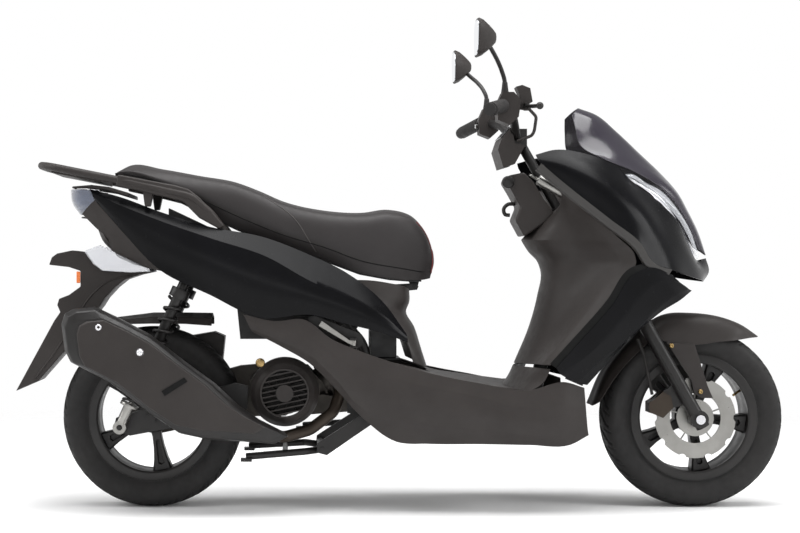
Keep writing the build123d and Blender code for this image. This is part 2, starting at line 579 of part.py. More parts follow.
peg_plates = []
pegs = []
for s in (-1, 1):
    plate = prism([(-240, 498), (-225, 503), (-104, 455), (-101, 432), (-112, 420), (-238, 484)], s * 168, s * 172)
    plate = plate.fuse(box(-135, -117, s * 170, s * 200, 442, 446), box(-135, -117, s * 170, s * 200, 422, 426))
    plate = plate.fuse(rod((-150, s * 169, 452), (-150, s * 122, 476), 8))
    peg = prism([(-214, 478), (-140, 434), (-126, 428), (-126, 441), (-136, 441), (-206, 490)], s * 187, s * 199)
    peg = peg.fuse(rod((-126, s * 193, 427.5), (-126, s * 193, 440.5), 7))
    peg = peg.cut(rod((-126, s * 193, 400), (-126, s * 193, 460), 3.3))
    plate = plate.fuse(rod((-126, s * 193, 424), (-126, s * 193, 444), 3))
    peg_plates.append(plate)
    pegs.append(peg)
save("footpeg_right", pegs[0])
save("footpeg_left", pegs[1])

# ---------------------------------------------------------------- seat
SEAT = [  # x, half width, bottom, waist, crown
    (-738, 92, 862, 868, 876), (-700, 116, 850, 872, 893), (-620, 126, 821, 850, 882), (-520, 130, 770, 815, 864),
    (-430, 132, 728, 790, 848), (-370, 138, 704, 760, 826), (-300, 146, 676, 730, 796), (-200, 150, 646, 706, 774),
    (-100, 146, 609, 690, 768), (-30, 130, 596, 680, 776), (30, 104, 592, 665, 760), (64, 82, 592, 650, 724),
    (88, 50, 596, 640, 668),
]
seat_rings = []
for x, half, low, waist, crown in SEAT:
    lean = 10 if x > 20 else 0
    seat_rings.append([
        (x - lean, -half * 0.86, low), (x, -half, waist), (x, -half * 0.9, crown - 18), (x, -half * 0.55, crown - 4),
        (x, 0, crown), (x, half * 0.55, crown - 4), (x, half * 0.9, crown - 18), (x, half, waist),
        (x - lean, half * 0.86, low), (x - lean, 0, low),
    ])
save("seat_cushion", ring_body(seat_rings))
pan_rings = []
for x, half, low, _, _ in SEAT[:-1]:
    w = half * 0.84
    edge = x - 10 if x > 20 else x
    top, under = low - 0.4, low - 4.4
    pan_rings.append([(edge, -w, top), (edge, w, top), (edge, w, under), (edge, -w, under)])
pan = ring_body(pan_rings)
eye = prism([(26, 588.5), (52, 588.5), (47, 569), (34, 569)], -15, 15).cut(disc(*SEAT_HINGE, -40, 40, 4.3))
save("seat_base", pan.fuse(eye))

# ---------------------------------------------------------------- engine, drive and exhaust
case = prism([(-370, 248), (-330, 238), (-215, 262), (-205, 330), (-240, 366), (-360, 366), (-392, 330)], -70, 62)
case = fuse(
    case,
    prism([(-250, 240), (-140, 248), (-106, 252), (-106, 274), (-140, 284), (-250, 300)], -44, 44),
    prism([(-215, 280), (-225, 340), (-300, 372), (-420, 362), (-600, 312), (-680, 272), (-742, 232), (-742, 200),
           (-640, 180), (-420, 226), (-300, 228)], 62, 90),
    disc(-723, 215, 90, 140, 5.5),
    prism([(-372, 262), (-432, 262), (-432, 316), (-372, 316)], -70, -62.5),
)
case = case.cut(disc(*PIVOT, -60, 60, 7.3)).cut(disc(*CRANK, -100, 170, 15)).cut(disc(REAR_X, AXLE_Z, 50, 100, 7.55))
case = case.cut(rod((-246.2, 0, 301.9), (-130, 0, 356.8), 51))
cylinder = rod((-246, 0, 302), (-172, 0, 337), 40)
cylinder = cylinder.fuse(rod((-175, 0, 335), (-148, 0, 348), 46))
for k in range(4):
    a = 0.15 + 0.2 * k
    start = (-246 + 74 * a, 0, 302 + 35 * a)
    if a > 0.5:
        cylinder = cylinder.fuse(rod(start, (start[0] + 5.4, 0, start[2] + 2.6), 50))
save("engine_case", case, cylinder)
cvt = prism([(-222, 300), (-240, 346), (-300, 366), (-420, 354), (-560, 312), (-590, 270), (-570, 215), (-420, 232),
             (-300, 236)], 90.4, 134)
cvt = cvt.fuse(prism([(-236, 300), (-250, 336), (-300, 354), (-420, 342), (-546, 304), (-574, 268), (-560, 226),
                      (-420, 244), (-300, 248)], 134, 142))
cvt = cvt.fuse(disc(-330, 300, 141, 143, 8))
save("cvt_cover", cvt.cut(disc(*CRANK, 80, 122, 40)).cut(disc(-560, 262, 80, 122, 20)))
shaft = disc(*CRANK, -150, 118, 14)
fan = shaft.fuse(disc(*CRANK, -104, -100, 58))
for k in range(12):
    a = math.radians(30 * k)
    tip = (CRANK[0] + 57 * math.cos(a), CRANK[1] + 57 * math.sin(a))
    root = (CRANK[0] + 26 * math.cos(a + 0.3), CRANK[1] + 26 * math.sin(a + 0.3))
    d = (-(tip[1] - root[1]) * 0.03, (tip[0] - root[0]) * 0.03)
    vane = [(root[0] - d[0], root[1] - d[1]), (tip[0] - d[0], tip[1] - d[1]),
            (tip[0] + d[0], tip[1] + d[1]), (root[0] + d[0], root[1] + d[1])]
    fan = fan.fuse(prism(vane, -126, -103.5))
save("cooling_fan", fan)
cover = turned(*CRANK, [(88, -70.5), (88, -118), (76, -146), (66, -158), (62, -165), (58, -165), (58, -160),
                        (64, -150), (74, -138), (84, -116), (84, -70.5)])
for k in range(-4, 5):
    z = 12.5 * k
    half = math.sqrt(61 ** 2 - z ** 2)
    c, s = math.cos(math.radians(12)), math.sin(math.radians(12))
    corner = [(-half, z - 1.6), (half, z - 1.6), (half, z + 1.6), (-half, z + 1.6)]
    cover = cover.fuse(prism([(CRANK[0] + u * c - v * s, CRANK[1] + u * s + v * c) for u, v in corner], -164, -155))
cover = cover.fuse(disc(*CRANK, -168, -154, 22))
save("fan_cover", cover)

pipe = bent([(-162, -40, 330), (-156, -76, 306), (-174, -106, 254), (-235, -120, 209), (-300, -140, 192),
             (-340, -190, 205)], 15, (24, 40, 60, 30))
save("exhaust_pipe", pipe)
MUFFLER = [
    (-858, 483), (-850, 509), (-828, 521), (-777, 526), (-713, 496), (-638, 456), (-550, 388), (-475, 333), (-412, 275),
    (-357, 237), (-290, 203), (-324, 183), (-400, 189), (-488, 194), (-562, 210), (-638, 260), (-688, 300),
    (-738, 338), (-835, 388), (-850, 418),
]


def shrunk(outline, factor):
    cx = sum(p[0] for p in outline) / len(outline)
    cz = sum(p[1] for p in outline) / len(outline)
    return [(cx + (x - cx) * factor, cz + (z - cz) * factor) for x, z in outline]


body = prism(MUFFLER, -238, -166).fuse(prism(shrunk(MUFFLER, 0.9), -252, -153))
heat_shield = prism(shrunk(MUFFLER, 0.82), -258, -252.4)
save("muffler", body, heat_shield)
arm = prism([(-397, 260), (-395, 318), (-430, 326), (-560, 290), (-640, 266), (-736, 236), (-744, 205), (-700, 190),
             (-620, 205), (-440, 232)], -88.3, -70.4)
arm = fuse(arm, disc(-723, 215, -140, -88, 5.5), disc(-600, 250, -152.6, -88, 8), disc(-450, 262, -152.6, -88, 8))
arm = arm.cut(disc(REAR_X, AXLE_Z, -100, -60, AXLE_R + 0.05))
rear_axle = disc(REAR_X, AXLE_Z, -96, 92, AXLE_R).fuse(disc(REAR_X, AXLE_Z, -100, -88.8, 13))
save("swing_arm", arm, rear_axle)
air_box = prism([(-572, 330), (-470, 362), (-462, 440), (-490, 452), (-562, 440), (-578, 400)], 68, 138)
hugger_rows = [
    [(-490, -70, 474), (-490, -60, 493), (-490, 0, 505)],
    [(-560, -70, 479), (-560, -60, 495), (-560, 0, 506)],
    [(-646, -70, 480), (-646, -60, 496), (-646, 0, 506)],
    [(-736, -62, 478), (-738, -52, 488), (-742, 0, 494)],
]
hugger = skin([across(r) for r in hugger_rows], (-600, 0, 300), 2.5)
save("air_box_and_hugger", air_box, hugger)
kick = disc(-330, 300, 143, 152, 15).fuse(prism([(-336, 290), (-326, 311), (-470, 276), (-474, 262)], 144, 151))
save("kick_starter", kick.fuse(rod((-466, 150, 269), (-466, 182, 269), 8)))

# ---------------------------------------------------------------- shock absorbers
TOP, LOW = (-553, 594), (-723, 215)
SHOCK_Y = 120
SHOCK_LEN = math.hypot(TOP[0] - LOW[0], TOP[1] - LOW[1])
SHOCK_DIR = ((LOW[0] - TOP[0]) / SHOCK_LEN, (LOW[1] - TOP[1]) / SHOCK_LEN)


def down_shock(d, side):
    return (TOP[0] + SHOCK_DIR[0] * d, side * SHOCK_Y, TOP[1] + SHOCK_DIR[1] * d)


bodies, rods, springs = [], [], []
for s in (-1, 1):
    upper = fuse(
        disc(TOP[0], TOP[1], s * 108, s * 132, 15),
        rod(down_shock(12, s), down_shock(210, s), 14),
        rod(down_shock(28, s), down_shock(52, s), 25),
    )
    upper = upper.cut(disc(TOP[0], TOP[1], s * 100, s * 145, 6.3))
    bodies.append(upper.cut(rod(down_shock(60, s), down_shock(212, s), 7)))
    lower = fuse(
        disc(LOW[0], LOW[1], s * 108, s * 132, 17),
        rod(down_shock(150, s), down_shock(SHOCK_LEN - 10, s), 6),
        rod(down_shock(SHOCK_LEN - 60, s), down_shock(SHOCK_LEN - 12, s), 14),
        rod(down_shock(SHOCK_LEN - 66, s), down_shock(SHOCK_LEN - 58, s), 25),
    )
    rods.append(lower.cut(disc(LOW[0], LOW[1], s * 100, s * 145, 7.2)))
    plane = Plane(origin=Vector(*down_shock(57, s)), z_dir=(SHOCK_DIR[0], 0, SHOCK_DIR[1]))
    helix = Wire([e for e in Helix(pitch=32, height=SHOCK_LEN - 66 - 62, radius=21).edges()])
    start, heading = helix.position_at(0), helix.tangent_at(0)
    coil = Solid.sweep(Face(Wire.make_circle(4, Plane(origin=start, z_dir=heading))), helix)
    springs.append(coil.moved(plane.location))
save("shock_bodies", *bodies)
save("shock_rods", *rods)
save("shock_springs", *springs)

# ---------------------------------------------------------------- stands
stand = disc(*STAND, -90, 90, 12)
for s in (-1, 1):
    leg = bent([(-214, s * 70, 152), (-247, s * 110, 152), (-399, s * 128, 141)], 9, 15)
    foot = box(-412, -384, s * 116, s * 142, 129, 137)
    stand = stand.fuse(leg, foot)
stand = stand.fuse(rod((-300, -118, 147), (-300, 118, 147), 7))
save("centre_stand", stand.cut(disc(*STAND, -120, 120, 6.3)))
side_lug = prism([(-58, 250), (-20, 250), (-20, 200), (-50, 196)], 126, 134)
side_lug = side_lug.fuse(box(-56, -22, 112, 130, 232, 250)).fuse(disc(-40, 208, 133, 137.8, 8))
side_leg = disc(-40, 208, 138, 146, 12).fuse(bent([(-40, 147, 208), (-110, 152, 205), (-252, 192, 191)], 8, 60))
save("side_stand", side_leg.fuse(box(-272, -240, 180, 208, 177, 187)))

# ---------------------------------------------------------------- brake hose
hose = bent([(650, -80, 296), (640, -84, 340), (628, -84, 400), (612, -84, 440)], 4, 30)
save("front_brake_hose", hose)

frame = fuse(frame, tray, side_lug, *peg_plates)
save("frame", frame, *bearings, *pins)
save("steering_stem", stem.fuse(yoke), clamp)
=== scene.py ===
"""The looks of the moped scooter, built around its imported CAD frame. Lengths in tables are millimetres."""

import math

import bpy
import bmesh
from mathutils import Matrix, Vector
from mathutils.bvhtree import BVHTree


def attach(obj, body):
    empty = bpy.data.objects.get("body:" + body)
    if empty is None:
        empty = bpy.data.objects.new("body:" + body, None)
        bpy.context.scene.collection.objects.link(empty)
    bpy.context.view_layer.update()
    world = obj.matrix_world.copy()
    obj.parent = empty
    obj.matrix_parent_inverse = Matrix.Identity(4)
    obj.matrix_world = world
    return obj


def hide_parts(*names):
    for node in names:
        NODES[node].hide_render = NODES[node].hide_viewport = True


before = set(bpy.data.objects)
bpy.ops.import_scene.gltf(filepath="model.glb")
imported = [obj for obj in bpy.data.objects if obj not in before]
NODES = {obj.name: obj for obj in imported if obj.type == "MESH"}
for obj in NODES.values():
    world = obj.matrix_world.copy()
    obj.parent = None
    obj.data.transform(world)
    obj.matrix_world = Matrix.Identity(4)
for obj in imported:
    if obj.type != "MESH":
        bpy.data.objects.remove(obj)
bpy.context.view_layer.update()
MM = 0.001


# ---------------------------------------------------------------- node helpers
def new_material(name):
    mat = bpy.data.materials.new(name)
    mat.use_nodes = True
    tree = mat.node_tree
    return mat, tree, tree.nodes["Principled BSDF"]


def noise(tree, scale, detail=4.0, rough=0.55, stretch=(1, 1, 1)):
    """Noise over the object's own metres."""
    coord = tree.nodes.new("ShaderNodeTexCoord")
    place = tree.nodes.new("ShaderNodeMapping")
    place.inputs["Scale"].default_value = stretch
    tex = tree.nodes.new("ShaderNodeTexNoise")
    tex.inputs["Scale"].default_value = scale
    tex.inputs["Detail"].default_value = detail
    tex.inputs["Roughness"].default_value = rough
    tree.links.new(coord.outputs["Object"], place.inputs["Vector"])
    tree.links.new(place.outputs["Vector"], tex.inputs["Vector"])
    return tex.outputs["Fac"]


def ranged(tree, value, low, high, start=0.3, end=0.7):
    node = tree.nodes.new("ShaderNodeMapRange")
    node.inputs["From Min"].default_value = start
    node.inputs["From Max"].default_value = end
    node.inputs["To Min"].default_value = low
    node.inputs["To Max"].default_value = high
    tree.links.new(value, node.inputs["Value"])
    return node.outputs["Result"]


def mixed(tree, factor, a, b):
    node = tree.nodes.new("ShaderNodeMix")
    node.data_type = "RGBA"
    node.inputs["A"].default_value = (*a, 1)
    node.inputs["B"].default_value = (*b, 1)
    tree.links.new(factor, node.inputs["Factor"])
    return node.outputs["Result"]


def bumped(tree, bsdf, height, strength, distance=0.0004):
    node = tree.nodes.new("ShaderNodeBump")
    node.inputs["Strength"].default_value = strength
    node.inputs["Distance"].default_value = distance
    tree.links.new(height, node.inputs["Height"])
    tree.links.new(node.outputs["Normal"], bsdf.inputs["Normal"])
    return node


def surface(name, color, rough, other=None, metal=0.0, patch=9.0, rough_to=None, grain=900.0, bump=0.15,
            depth=0.0003, stretch=(1, 1, 1), coat=0.0, coat_rough=0.03, spec=0.5):
    """A plain material with blotches of a second tone, uneven gloss and a fine grain."""
    mat, tree, bsdf = new_material(name)
    other = other or tuple(min(1, c * 1.35 + 0.004) for c in color)
    wide = noise(tree, patch, 5)
    tree.links.new(mixed(tree, ranged(tree, wide, 0, 1, 0.35, 0.75), color, other),
                   bsdf.inputs["Base Color"])
    fine = noise(tree, patch * 6, 5, 0.6)
    tree.links.new(ranged(tree, fine, rough, rough_to or rough * 1.3), bsdf.inputs["Roughness"])
    bsdf.inputs["Metallic"].default_value = metal
    bsdf.inputs["Specular IOR Level"].default_value = spec
    if coat:
        bsdf.inputs["Coat Weight"].default_value = coat
        bsdf.inputs["Coat Roughness"].default_value = coat_rough
    if bump:
        bumped(tree, bsdf, noise(tree, grain, 3, 0.5, stretch), bump, depth)
    return mat


def clear(name, color, alpha, rough=0.03, patch=20.0, coat=1.0):
    """A see-through plastic with an uneven gloss."""
    mat, tree, bsdf = new_material(name)
    bsdf.inputs["Base Color"].default_value = (*color, 1)
    bsdf.inputs["Alpha"].default_value = alpha
    bsdf.inputs["Coat Weight"].default_value = coat
    tree.links.new(ranged(tree, noise(tree, patch, 4), rough, rough * 2.5), bsdf.inputs["Roughness"])
    bumped(tree, bsdf, noise(tree, 60, 2), 0.02, 0.0003)
    return mat


M = {
    "black_gloss": surface("gloss_black_paint", (0.0035, 0.0035, 0.004), 0.20, (0.005, 0.005, 0.006),
                           rough_to=0.28, grain=350, bump=0.03, spec=0.10),
    "black_matte": surface("grained_cover", (0.0200, 0.0165, 0.0152), 0.46, (0.0270, 0.0228, 0.0212),
                           rough_to=0.60, grain=1400, bump=0.30, depth=0.0002, spec=0.3),
    "smoke_screen": clear("smoked_screen", (0.030, 0.027, 0.036), 0.88, 0.10, coat=0.15),
    "clear_lens": clear("clear_lens", (0.80, 0.82, 0.86), 0.30, 0.02),
    "smoke_lens": clear("smoked_lens", (0.12, 0.14, 0.20), 0.6),
    "chrome": surface("chrome", (0.82, 0.82, 0.84), 0.06, (0.70, 0.70, 0.73), metal=1, rough_to=0.12,
                      bump=0.02),
    "steel": surface("brushed_steel", (0.30, 0.295, 0.28), 0.26, (0.20, 0.195, 0.185), metal=1,
                     rough_to=0.4, grain=500, bump=0.15, stretch=(1, 1, 12)),
    "black_metal": surface("satin_black_metal", (0.0080, 0.0074, 0.0072), 0.34, (0.0140, 0.0125, 0.0120),
                           rough_to=0.50, grain=800, bump=0.15, spec=0.35),
    "cast": surface("cast_aluminium", (0.085, 0.078, 0.070), 0.45, (0.050, 0.045, 0.040), metal=0.8,
                    rough_to=0.62, grain=700, bump=0.5, depth=0.0004),
    "tyre": surface("tyre_rubber", (0.0130, 0.0125, 0.0125), 0.62, (0.0200, 0.0190, 0.0185), rough_to=0.8,
                    grain=1500, bump=0.3, spec=0.3),
    "rubber": surface("grip_rubber", (0.012, 0.011, 0.011), 0.6, (0.022, 0.020, 0.019), rough_to=0.75,
                      grain=1200, bump=0.3, spec=0.3),
    "vinyl": surface("seat_vinyl", (0.0190, 0.0165, 0.0165), 0.46, (0.0250, 0.0220, 0.0222), rough_to=0.58,
                     grain=650, bump=0.55, depth=0.0004, spec=0.3),
    "bucket": surface("moulded_black", (0.012, 0.0115, 0.0115), 0.5, rough_to=0.65, grain=1000, bump=0.25,
                      spec=0.3),
    "battery": surface("battery_black", (0.012, 0.012, 0.013), 0.35, rough_to=0.5, bump=0.1),
    "brass": surface("dull_brass", (0.42, 0.30, 0.13), 0.32, (0.30, 0.20, 0.09), metal=1, rough_to=0.5,
                     bump=0.15),
    "orange": surface("orange_reflector", (0.75, 0.16, 0.02), 0.15, (0.85, 0.22, 0.03), grain=400, bump=0.3,
                      coat=0.5),
    "red_lens": surface("red_lens", (0.30, 0.01, 0.01), 0.12, (0.40, 0.02, 0.02), grain=300, bump=0.3,
                        coat=0.5),
    # dark_strip: a grey a little lighter than the covers; along the lower-cover crease it is a painted
    # highlight
    "dark_strip": surface("dark_grey_strip", (0.030, 0.028, 0.027), 0.38, (0.038, 0.036, 0.034),
                          rough_to=0.5, grain=1200, bump=0.2, spec=0.4),
    # gap_black: near-black strips laid into grooves, gaps, slots and along the seat welt as painted shade
    "gap_black": surface("shadow_strip", (0.003, 0.003, 0.003), 0.5, (0.005, 0.005, 0.005), rough_to=0.7,
                         grain=900, bump=0.1, spec=0.15),
    "piping": surface("red_piping", (0.11, 0.016, 0.016), 0.5, (0.15, 0.022, 0.022), bump=0.2),
    "thread": surface("seam_thread", (0.040, 0.035, 0.034), 0.6, (0.055, 0.048, 0.046), bump=0.3,
                      grain=1500),
    "mirror": surface("mirror_glass", (0.75, 0.77, 0.8), 0.02, (0.72, 0.74, 0.78), metal=1, rough_to=0.04,
                      bump=0),
    "white_mark": surface("printed_mark", (0.5, 0.5, 0.5), 0.4, bump=0.1),
    "dial": surface("dial_face", (0.02, 0.02, 0.022), 0.3, (0.03, 0.03, 0.033), bump=0.05, coat=0.8),
    "bronze": surface("dark_bronze", (0.030, 0.022, 0.016), 0.35, (0.045, 0.034, 0.025), metal=0.6,
                      rough_to=0.5, grain=700, bump=0.4),
}


# ---------------------------------------------------------------- mesh helpers
def finish_mesh(name, verts, faces, mat, body, nodes=(), smooth=True):
    mesh = bpy.data.meshes.new(name)
    mesh.from_pydata([tuple(v) for v in verts], [], faces)
    mesh.validate()
    if smooth:
        mesh.polygons.foreach_set("use_smooth", [True] * len(mesh.polygons))
    obj = bpy.data.objects.new(name, mesh)
    bpy.context.scene.collection.objects.link(obj)
    obj.data.materials.append(M[mat])
    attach(obj, body)
    if nodes:
        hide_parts(*nodes)
    return obj


def bevel(obj, width, segments=2, angle=35, weld=False):
    if weld:
        mod = obj.modifiers.new("weld", "WELD")
        mod.merge_threshold = 0.00002
    mod = obj.modifiers.new("bevel", "BEVEL")
    mod.width = width * MM
    mod.segments = segments
    mod.limit_method = "ANGLE"
    mod.angle_limit = math.radians(angle)
    mod.harden_normals = True
    mod.use_clamp_overlap = True
    return obj


def spline(points, steps, sharp=()):
    """A smooth run through the points, free to turn at the sharp ones."""
    pts = [Vector(p) for p in points]
    n = len(pts)
    gaps = [max((b - a).length, 1e-6) for a, b in zip(pts, pts[1:])]

    def slope(i, span):
        if i == 0 or i == n - 1 or i in sharp:
            return (pts[span + 1] - pts[span]) / gaps[span]
        before, after = gaps[i - 1], gaps[i]
        left = (pts[i] - pts[i - 1]) / before
        right = (pts[i + 1] - pts[i]) / after
        return (left * after + right * before) / (before + after)

    run = []
    for i in range(n - 1):
        a, b = slope(i, i) * gaps[i], slope(i + 1, i) * gaps[i]
        for k in range(steps):
            t = k / steps
            h = 2 * t ** 3 - 3 * t ** 2 + 1
            near, far = pts[i] * h + a * (t ** 3 - 2 * t ** 2 + t), pts[i + 1] * (1 - h)
            run.append(near + far + b * (t ** 3 - t ** 2))
    return run + [pts[-1]]


def woven(rows, steps, sharp_cols=(), sharp_rows=()):
    """A fine grid through a coarse grid of points."""
    wide = [spline(row, steps, sharp_cols) for row in rows]
    columns = [spline(col, steps, sharp_rows) for col in zip(*wide)]
    return [list(row) for row in zip(*columns)]


def grid_mesh(grid):
    verts = [p * MM for row in grid for p in row]
    wide = len(grid[0])
    faces = [
        (i * wide + j, i * wide + j + 1, (i + 1) * wide + j + 1, (i + 1) * wide + j)
        for i in range(len(grid) - 1) for j in range(wide - 1)
    ]
    return verts, faces


def across(row):
    return row + [(x, -y, z) for x, y, z in reversed(row[:-1])]


def flipped(rows):
    return [[(x, -y, z) for x, y, z in row] for row in rows]


def shell(name, rows, inside, mat, slot, body="chassis", nodes=(), thick=3.0, steps=7, sharp_cols=(),
          sharp_rows=(), edge=0.9, crease=22):
    """A moulded cover whose outer face runs through the rows, with real thickness and rounded edges."""
    grid = woven(rows, steps, sharp_cols, sharp_rows)
    verts, faces = grid_mesh(grid)
    i, j = len(grid) // 2, len(grid[0]) // 2
    if j + 1 >= len(grid[0]):
        j -= 1
    here = grid[i][j]
    normal = (grid[i][j + 1] - here).cross(grid[i - 1][j] - here)
    if normal.dot(Vector(inside) - here) > 0:
        faces = [tuple(reversed(f)) for f in faces]
    obj = finish_mesh(name, verts, faces, mat, body, nodes)
    solid = obj.modifiers.new("thickness", "SOLIDIFY")
    solid.thickness = thick * MM
    solid.offset = -1
    bevel(obj, edge, 2, crease)
    return obj


def pair(name, rows, inside, *args, **kw):
    """A cover on the right side and its mirror image on the left."""
    inside = Vector(inside)
    right = shell(name + "_right", rows, inside, *args, **kw)
    left = shell(name + "_left", flipped(rows), Vector((inside.x, -inside.y, inside.z)), *args, **kw)
    return right, left


def prism(name, outline, y0, y1, mat, body, nodes=(), width=2.0, segments=3, angle=30):
    """An (x, z) outline between two y values, with rounded edges."""
    n = len(outline)
    verts = [Vector((x, y, z)) * MM for y in (y0, y1) for x, z in outline]
    faces = [tuple(range(n)), tuple(reversed(range(n, 2 * n)))]
    faces += [(i, i + n, (i + 1) % n + n, (i + 1) % n) for i in range(n)]
    obj = finish_mesh(name, verts, faces, mat, body, nodes)
    mend_normals(obj)
    return bevel(obj, width, segments, angle)


def mend_normals(obj):
    """Faces wound so that they all look outwards."""
    bm = bmesh.new()
    bm.from_mesh(obj.data)
    bmesh.ops.recalc_face_normals(bm, faces=bm.faces)
    bm.to_mesh(obj.data)
    bm.free()


def tube(name, points, radius, mat, slot, body, nodes=(), smooth_steps=6, around=14, closed_ends=True,
         taper=None):
    """A round bar whose centre line runs smoothly through the points."""
    line = spline(points, smooth_steps) if smooth_steps else [Vector(p) for p in points]
    verts, faces = [], []
    side = None
    for i, p in enumerate(line):
        ahead = (line[min(i + 1, len(line) - 1)] - line[max(i - 1, 0)]).normalized()
        if side is None:
            side = ahead.orthogonal().normalized()
        side = (side - ahead * side.dot(ahead)).normalized()
        up = ahead.cross(side)
        r = radius * (taper(i / (len(line) - 1)) if taper else 1)
        for k in range(around):
            a = 2 * math.pi * k / around
            verts.append((p + side * (r * math.cos(a)) + up * (r * math.sin(a))) * MM)
    for i in range(len(line) - 1):
        for k in range(around):
            j = (k + 1) % around
            faces.append((i * around + k, i * around + j, (i + 1) * around + j, (i + 1) * around + k))
    if closed_ends:
        faces.append(tuple(reversed(range(around))))
        last = (len(line) - 1) * around
        faces.append(tuple(range(last, last + around)))
    obj = finish_mesh(name, verts, faces, mat, body, nodes)
    mend_normals(obj)
    return obj


def turned(name, profile, centre, mat, body, nodes=(), around=96, axis="Y", closed=True):
    """(radius, along) points turned about an axis through the centre."""
    verts, faces, n = [], [], len(profile)
    c = Vector(centre)
    for k in range(around):
        a = 2 * math.pi * k / around
        for r, t in profile:
            p = Vector((r * math.cos(a), t, r * math.sin(a)))
            if axis != "Y":
                p = Vector(axis).to_track_quat("Y", "Z") @ p
            verts.append((c + p) * MM)
    for k in range(around):
        j = (k + 1) % around
        for i in range(n if closed else n - 1):
            m = (i + 1) % n
            faces.append((k * n + i, k * n + m, j * n + m, j * n + i))
    obj = finish_mesh(name, verts, faces, mat, body, nodes)
    mend_normals(obj)
    return obj


def bolt(name, centre, radius, height, direction, mat="steel", body="chassis", sides=6):
    """A washer-faced bolt head or a socket screw."""
    r, h = radius, height
    profile = [(0.01, 0), (r * 1.25, 0), (r * 1.25, h * 0.25), (r, h * 0.3), (r, h * 0.9), (r * 0.85, h),
               (r * 0.5, h), (r * 0.45, h * 0.55), (0.01, h * 0.55)]
    return turned(name, profile, centre, mat, body, around=sides * 4, axis=direction, closed=False)


def shrunk(outline, factor):
    cx = sum(p[0] for p in outline) / len(outline)
    cz = sum(p[1] for p in outline) / len(outline)
    return [(cx + (x - cx) * factor, cz + (z - cz) * factor) for x, z in outline]


def lofted(name, rings, mat, slot, body, nodes=(), width=2.0, segments=3, angle=25):
    """A closed body through rings of points."""
    n = len(rings[0])
    verts = [Vector(p) * MM for ring in rings for p in ring]
    faces = [tuple(range(n)), tuple(reversed(range((len(rings) - 1) * n, len(rings) * n)))]
    for k in range(len(rings) - 1):
        for i in range(n):
            j = (i + 1) % n
            faces.append((k * n + i, k * n + j, (k + 1) * n + j, (k + 1) * n + i))
    obj = finish_mesh(name, verts, faces, mat, body, nodes)
    mend_normals(obj)
    return bevel(obj, width, segments, angle)


def at_y(outline, y):
    return [(x, y, z) for x, z in outline]


def laid_on(name, target, points, side, radius, mat, slot, body, steps=8):
    """A tube pressed half into a surface through (x, z) points seen from one side: a seam, piping, painted
    shade along a groove or welt, or a painted highlight along a crease.
    """
    bpy.context.view_layer.update()
    mesh = target.data
    tree = BVHTree.FromPolygons([v.co for v in mesh.vertices], [list(p.vertices) for p in mesh.polygons])
    line = []
    for p in spline([(x, 0, z) for x, z in points], steps):
        hit = tree.ray_cast(Vector((p.x * MM, side * 0.5, p.z * MM)), Vector((0, -side, 0)))[0]
        if hit is not None:
            line.append(hit / MM)
    return tube(name, line, radius, mat, slot, body, smooth_steps=0, around=8)


# ---------------------------------------------------------------- side panels
side_rows = [
    [(-803, -105, 825), (-797, -112, 817), (-792, -112, 809), (-785, -108, 799)],
    [(-722, -118, 804), (-710, -134, 778), (-710, -137, 747), (-709, -125, 711)],
    [(-618, -135, 765), (-609, -156, 739), (-611, -162, 683), (-618, -140, 619)],
    [(-490, -150, 726), (-481, -182, 695), (-483, -192, 627), (-489, -165, 556)],
    [(-357, -160, 701), (-349, -200, 652), (-354, -212, 577), (-357, -190, 498)],
    [(-236, -165, 655), (-231, -208, 587), (-231, -215, 544), (-231, -205, 506)],
    [(-147, -170, 612), (-148, -206, 552), (-148, -212, 519), (-148, -205, 484)],
    [(-54, -172, 538), (-50, -196, 499), (-50, -200, 476), (-50, -196, 459)],
    [(6, -174, 456), (8, -180, 449), (10, -182, 442), (12, -180, 435)],
]
pair("side_panel", side_rows, (-350, 0, 600), "black_gloss", "black_gloss", nodes=["side_panels"],
     sharp_cols=(1,))

# ---------------------------------------------------------------- lower covers
lower_rows = [
    [(-405, -186, 506), (-397, -189, 493), (-392, -190, 483), (-387, -189, 473), (-379, -186, 463)],
    [(-324, -194, 489), (-316, -200, 469), (-311, -202, 454), (-306, -200, 439), (-301, -192, 423)],
    [(-253, -200, 494), (-246, -208, 454), (-243, -210, 426), (-241, -208, 409), (-238, -196, 386)],
    [(-181, -204, 444), (-176, -214, 404), (-173, -216, 369), (-171, -212, 346), (-168, -196, 318)],
    [(-110, -206, 414), (-111, -218, 359), (-111, -220, 307), (-106, -214, 276), (-100, -196, 245)],
    [(-23, -208, 384), (-21, -221, 342), (-21, -223, 290), (-21, -214, 244), (-17, -188, 186)],
    [(65, -212, 359), (64, -224, 322), (64, -226, 275), (64, -216, 232), (67, -188, 181)],
    [(190, -214, 334), (188, -226, 297), (188, -228, 253), (189, -218, 219), (192, -190, 181)],
    [(315, -214, 317), (313, -226, 270), (313, -226, 230), (315, -216, 207), (318, -190, 179)],
    [(399, -206, 337), (397, -216, 277), (398, -214, 229), (399, -206, 203), (420, -182, 178)],
    [(455, -186, 321), (458, -190, 274), (461, -190, 237), (464, -186, 216), (468, -176, 202)],
]
covers = pair("lower_cover", lower_rows, (0, 0, 330), "black_matte", "black_matte", nodes=["lower_covers"],
              sharp_cols=(1, 3))
# The groove points below follow a real groove in the cover; the near-black tube laid on them is painted
# shade in the groove.
GROOVE = [(-118, 292), (0, 280), (130, 262), (270, 238), (330, 226)]
# The crease points below follow a real crease in the cover; the raised tube in a lighter grey laid on them
# is a painted highlight along the crease.
CREASE_HIGHLIGHT = [(-60, 352), (40, 338), (160, 312), (290, 274), (350, 250)]
for side, cover in zip((-1, 1), covers):
    laid_on(f"lower_cover_groove_shade_{side + 2}", cover, GROOVE, side, 1.5, "gap_black", "black_matte",
            "chassis")
    laid_on(f"lower_cover_crease_highlight_{side + 2}", cover, CREASE_HIGHLIGHT, side, 1.2, "dark_strip", "black_matte",
            "chassis")

